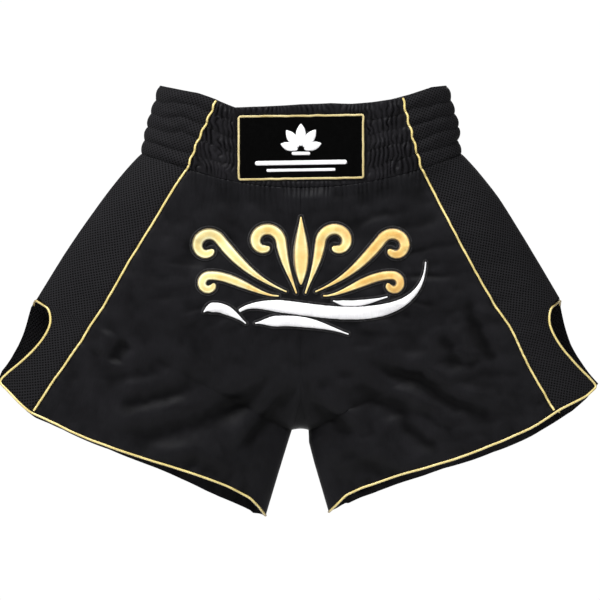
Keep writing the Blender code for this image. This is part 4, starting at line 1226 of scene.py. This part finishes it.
def felt(strokes):
    """The dark layer that shows as an outline round every stroke: a grid kept where it is within
    a margin of a stroke, its edge points pulled in to the margin's line."""
    x, z = np.meshgrid(np.arange(*FELT_X, FELT_PITCH), np.arange(*FELT_Z, -FELT_PITCH))
    distance = np.full(x.shape, 1.0)
    for _, _, path, half, _, _ in strokes:
        for (px, pz), width in zip(path[::3], half[::3]):
            distance = np.minimum(distance, np.hypot(x - px, z - pz) - width)
    gz, gx = np.gradient(distance, -FELT_PITCH, FELT_PITCH)
    inside = distance < FELT_MARGIN
    near = distance[:-1, :-1] < FELT_MARGIN + 1.5 * FELT_PITCH
    keep = near & (inside[:-1, :-1] | inside[1:, :-1] | inside[1:, 1:] | inside[:-1, 1:])
    steep = np.maximum(np.hypot(gx, gz), 0.3)
    push = np.maximum(distance - FELT_MARGIN, 0) / steep
    faces = grid_faces(*x.shape)[keep.ravel()]
    x, z = x - gx * push, z - gz * push
    edge = smooth((FELT_MARGIN - distance) / 0.0012)
    points = np.stack([x, front_y(x, z) - FELT_LIFT * lerp(0.35, 1.0, edge), z], -1).reshape(-1, 3)
    wanted, faces = np.unique(faces, return_inverse=True)
    points = points[wanted]
    from_edge = np.maximum(FELT_MARGIN - distance, 0).ravel()[wanted]
    item = finished("applique_outline", points, faces.reshape(-1, 4), points[:, ::2], FELT,
                    FELT_THICKNESS, ("from_edge", from_edge))
    fit(item, "applique_felt", "applique_backing")


def applique():
    strokes = applique_strokes()
    felt(strokes)
    for name, node, path, half, material, slot in strokes:
        fit(stroke(name, path, half, STROKE_RISE, FELT_LIFT, front_y, material), slot, node)


# ------------------------------------------------------------------ patch
PATCH_FACE, PATCH_TILT, PATCH_CORNER = -0.0412, 0.0159, 0.0022
PETALS, PETAL_LENGTH, PETAL_HALF_WIDTH = 5, 0.030, 0.0056
FOOT_LENGTH, FOOT_HALF_WIDTH, FOOT_DROP = 0.021, 0.0019, 0.0036
PATCH_HALF = PATCH_WIDTH / 2 - 0.0012, PATCH_HEIGHT / 2 - 0.0012


def patch_ground(x, z):
    """Front of the patch: flat and stiff, with the slight waves of the gathers behind it."""
    wave = 0.0005 * noise(x / 0.020, z / 0.035, 113) + 0.0002 * noise(x / 0.008, z / 0.02, 127)
    return PATCH_FACE + wave


def patch_thread(name, path, half_width, height=0.0007):
    """A white stroke on the patch."""
    return stroke(name, path, round_tips(path, half_width), height, 0.0001, patch_ground, WHITE_THREAD)


def patch_cloth():
    x = np.linspace(-PATCH_HALF[0], PATCH_HALF[0], 150)[None]
    z = PATCH_Z + np.linspace(PATCH_HALF[1], -PATCH_HALF[1], 78)[:, None] + PATCH_TILT * x
    points = np.stack(np.broadcast_arrays(x, patch_ground(x, z), z), -1)
    fit(sheet("patch_cloth", points, TWILL, 0.0009), "patch_black", "patch_base")


def patch_edge():
    """The gold border: an uneven, flattened cord round the patch."""
    outline = []
    for right, up, turn in ((1, 1, 0), (-1, 1, 90), (-1, -1, 180), (1, -1, 270)):
        for angle in np.radians(np.linspace(turn, turn + 90, 8)):
            outline.append((right * (PATCH_HALF[0] - PATCH_CORNER) + PATCH_CORNER * math.cos(angle),
                            up * (PATCH_HALF[1] - PATCH_CORNER) + PATCH_CORNER * math.sin(angle)))
    path = resample(outline + outline[:1], 0.0006)
    wobble = 0.00035 * noise(np.arange(len(path)) / 14, 0.5, 131)
    path[:, 0] += wobble
    path[:, 1] += PATCH_Z + PATCH_TILT * path[:, 0] + np.roll(wobble, 90)
    depths = patch_ground(path[:, 0], path[:, 1]) - 0.0001
    cord = np.stack([path[:, 0], depths, path[:, 1]], -1)[:-1]
    border = tube("patch_edge", cord, 0.00118, BORDER_THREAD, closed=True)
    places = np.array([vertex.co for vertex in border.data.vertices])
    places[:, 1] = lerp(np.repeat(cord[:, 1], TUBE_SIDES), places[:, 1], 0.62)
    border.data.vertices.foreach_set("co", places.astype(np.float32).ravel())
    fit(border, "gold_thread", "patch_border")


def patch_flower():
    """A plain lotus: five petals that fan out over a short foot."""
    petals = []
    foot = PATCH_Z - 0.0035
    t = np.linspace(0, 1, 60)
    for index in range(PETALS):
        angle = math.pi * (index + 0.5) / PETALS
        lean = 0.72 + 0.28 * math.sin(angle)
        r = PETAL_LENGTH * lean * lerp(0.16, 1.0, t)
        path = np.stack([r * math.cos(angle), r * math.sin(angle)], -1)
        path[:, 1] += foot + PATCH_TILT * path[:, 0]
        width = PETAL_HALF_WIDTH * lean * np.sin(np.pi * lerp(0.12, 1.0, t) ** 1.25) ** 0.9 + 0.0002
        petals.append(patch_thread(f"petal_{index}", path, width))
    across = np.linspace(-FOOT_LENGTH / 2, FOOT_LENGTH / 2, 50)
    path = np.stack([across, np.full(50, foot - FOOT_DROP)], -1)
    petals.append(patch_thread("petal_foot", path, np.full(50, FOOT_HALF_WIDTH)))
    fit(join("patch_flower", petals), "white_thread", "patch_motif")


def patch_stripes():
    for level, length, height, drop in (("upper", 0.104, 0.0050, 0.0175), ("lower", 0.078, 0.0032, 0.0258)):
        across = np.linspace(-length / 2, length / 2, 190)
        path = np.stack([across, PATCH_Z - drop + PATCH_TILT * across], -1)
        stripe = patch_thread("patch_stripe_" + level, path, np.full(190, height / 2), 0.0006)
        fit(stripe, "white_thread", "patch_bar_" + level)


# ------------------------------------------------------------------ assembly


def build():
    for face, face_name in FACES:
        band_front(face, face_name)
    for side, name in SIDES:
        band_side(side, name)
        mesh_side(side, name)
        for face, face_name in FACES:
            satin_panel(face, face_name, side, name)
            piping(face, face_name, side, name)
        hem_cord(side, name)
    lining()
    elastics()
    eyelets()
    care_label()
    gusset()
    applique()
    patch_cloth()
    patch_edge()
    patch_flower()
    patch_stripes()


# ------------------------------------------------------------------ studio
WHITE = (1.0, 1.0, 1.0, 1.0)
FLOOR_Z, FLOOR_RADIUS = -1.25, 7.0
GLOW_REACH, GLOW = (0.8, 4.5), (0.10, 0.75)     # the floor's glow, from its middle outwards
FILL_LIGHT, BACKDROP_LIGHT = 0.38, 1.02         # the sky as it lights the pair, and as it is seen
SOFTBOXES = (((-1.1, -1.2, 2.2), 1.2, 175), ((1.9, -2.0, 0.8), 1.2, 20), ((0.3, 2.2, 1.6), 1.5, 60))
LAMP_AIM = Vector((0, 0, -0.2))
VIEW_WIDTH, VIEW_CENTRE = 0.6822, (-0.0011, -0.2229)
CAMERA_DISTANCE, SENSOR = 8.0, 36.0


def pale_floor():
    """A pale round floor well below the pair, that fades into the white sky."""
    bpy.ops.mesh.primitive_circle_add(vertices=96, radius=FLOOR_RADIUS, fill_type="NGON",
                                      location=(0, 0, FLOOR_Z))
    floor = bpy.context.active_object
    floor.name = "floor"
    n = Nodes("floor_paper")
    out = n.add("ShaderNodeVectorMath", {"Vector": n.place()}, operation="LENGTH").outputs["Value"]
    paper = n.ramp(n.noise(n.place(), 3.0), ((0.3, grey(0.80)), (0.7, grey(0.84))))
    floor.data.materials.append(n.finish(
        paper, 0.9, Specular_IOR_Level=0.1, Emission_Color=WHITE,
        Emission_Strength=n.remap(out, GLOW_REACH, GLOW)))


def sky():
    """A white sky that lights the pair less than the camera sees of it."""
    world = bpy.data.worlds.new("studio")
    bpy.context.scene.world = world
    world.use_nodes = True
    tree = world.node_tree
    ray = tree.nodes.new("ShaderNodeLightPath")
    strength = tree.nodes.new("ShaderNodeMapRange")
    strength.inputs["To Min"].default_value = FILL_LIGHT
    strength.inputs["To Max"].default_value = BACKDROP_LIGHT
    background = tree.nodes["Background"]
    tree.links.new(ray.outputs["Is Camera Ray"], strength.inputs["Value"])
    tree.links.new(strength.outputs["Result"], background.inputs["Strength"])
    background.inputs["Color"].default_value = WHITE


def softboxes():
    for place, size, power in SOFTBOXES:
        data = bpy.data.lights.new("softbox", "AREA")
        data.size = size
        data.energy = power
        lamp = bpy.data.objects.new("softbox", data)
        lamp.location = place
        lamp.rotation_euler = (LAMP_AIM - Vector(place)).to_track_quat("-Z", "Y").to_euler()
        bpy.context.scene.collection.objects.link(lamp)


def camera():
    """A long lens square to the front, as in the photo."""
    data = bpy.data.cameras.new("camera")
    data.sensor_width = SENSOR
    data.lens = SENSOR * CAMERA_DISTANCE / VIEW_WIDTH
    data.clip_end = 100.0
    item = bpy.data.objects.new("camera", data)
    item.location = (VIEW_CENTRE[0], -CAMERA_DISTANCE, VIEW_CENTRE[1])
    item.rotation_euler = (math.radians(90), 0, 0)
    bpy.context.scene.collection.objects.link(item)
    bpy.context.scene.camera = item


def studio():
    """A plain pale floor, soft lights and the camera."""
    pale_floor()
    sky()
    softboxes()
    camera()
    bpy.context.scene.view_settings.view_transform = "Standard"


build()
studio()
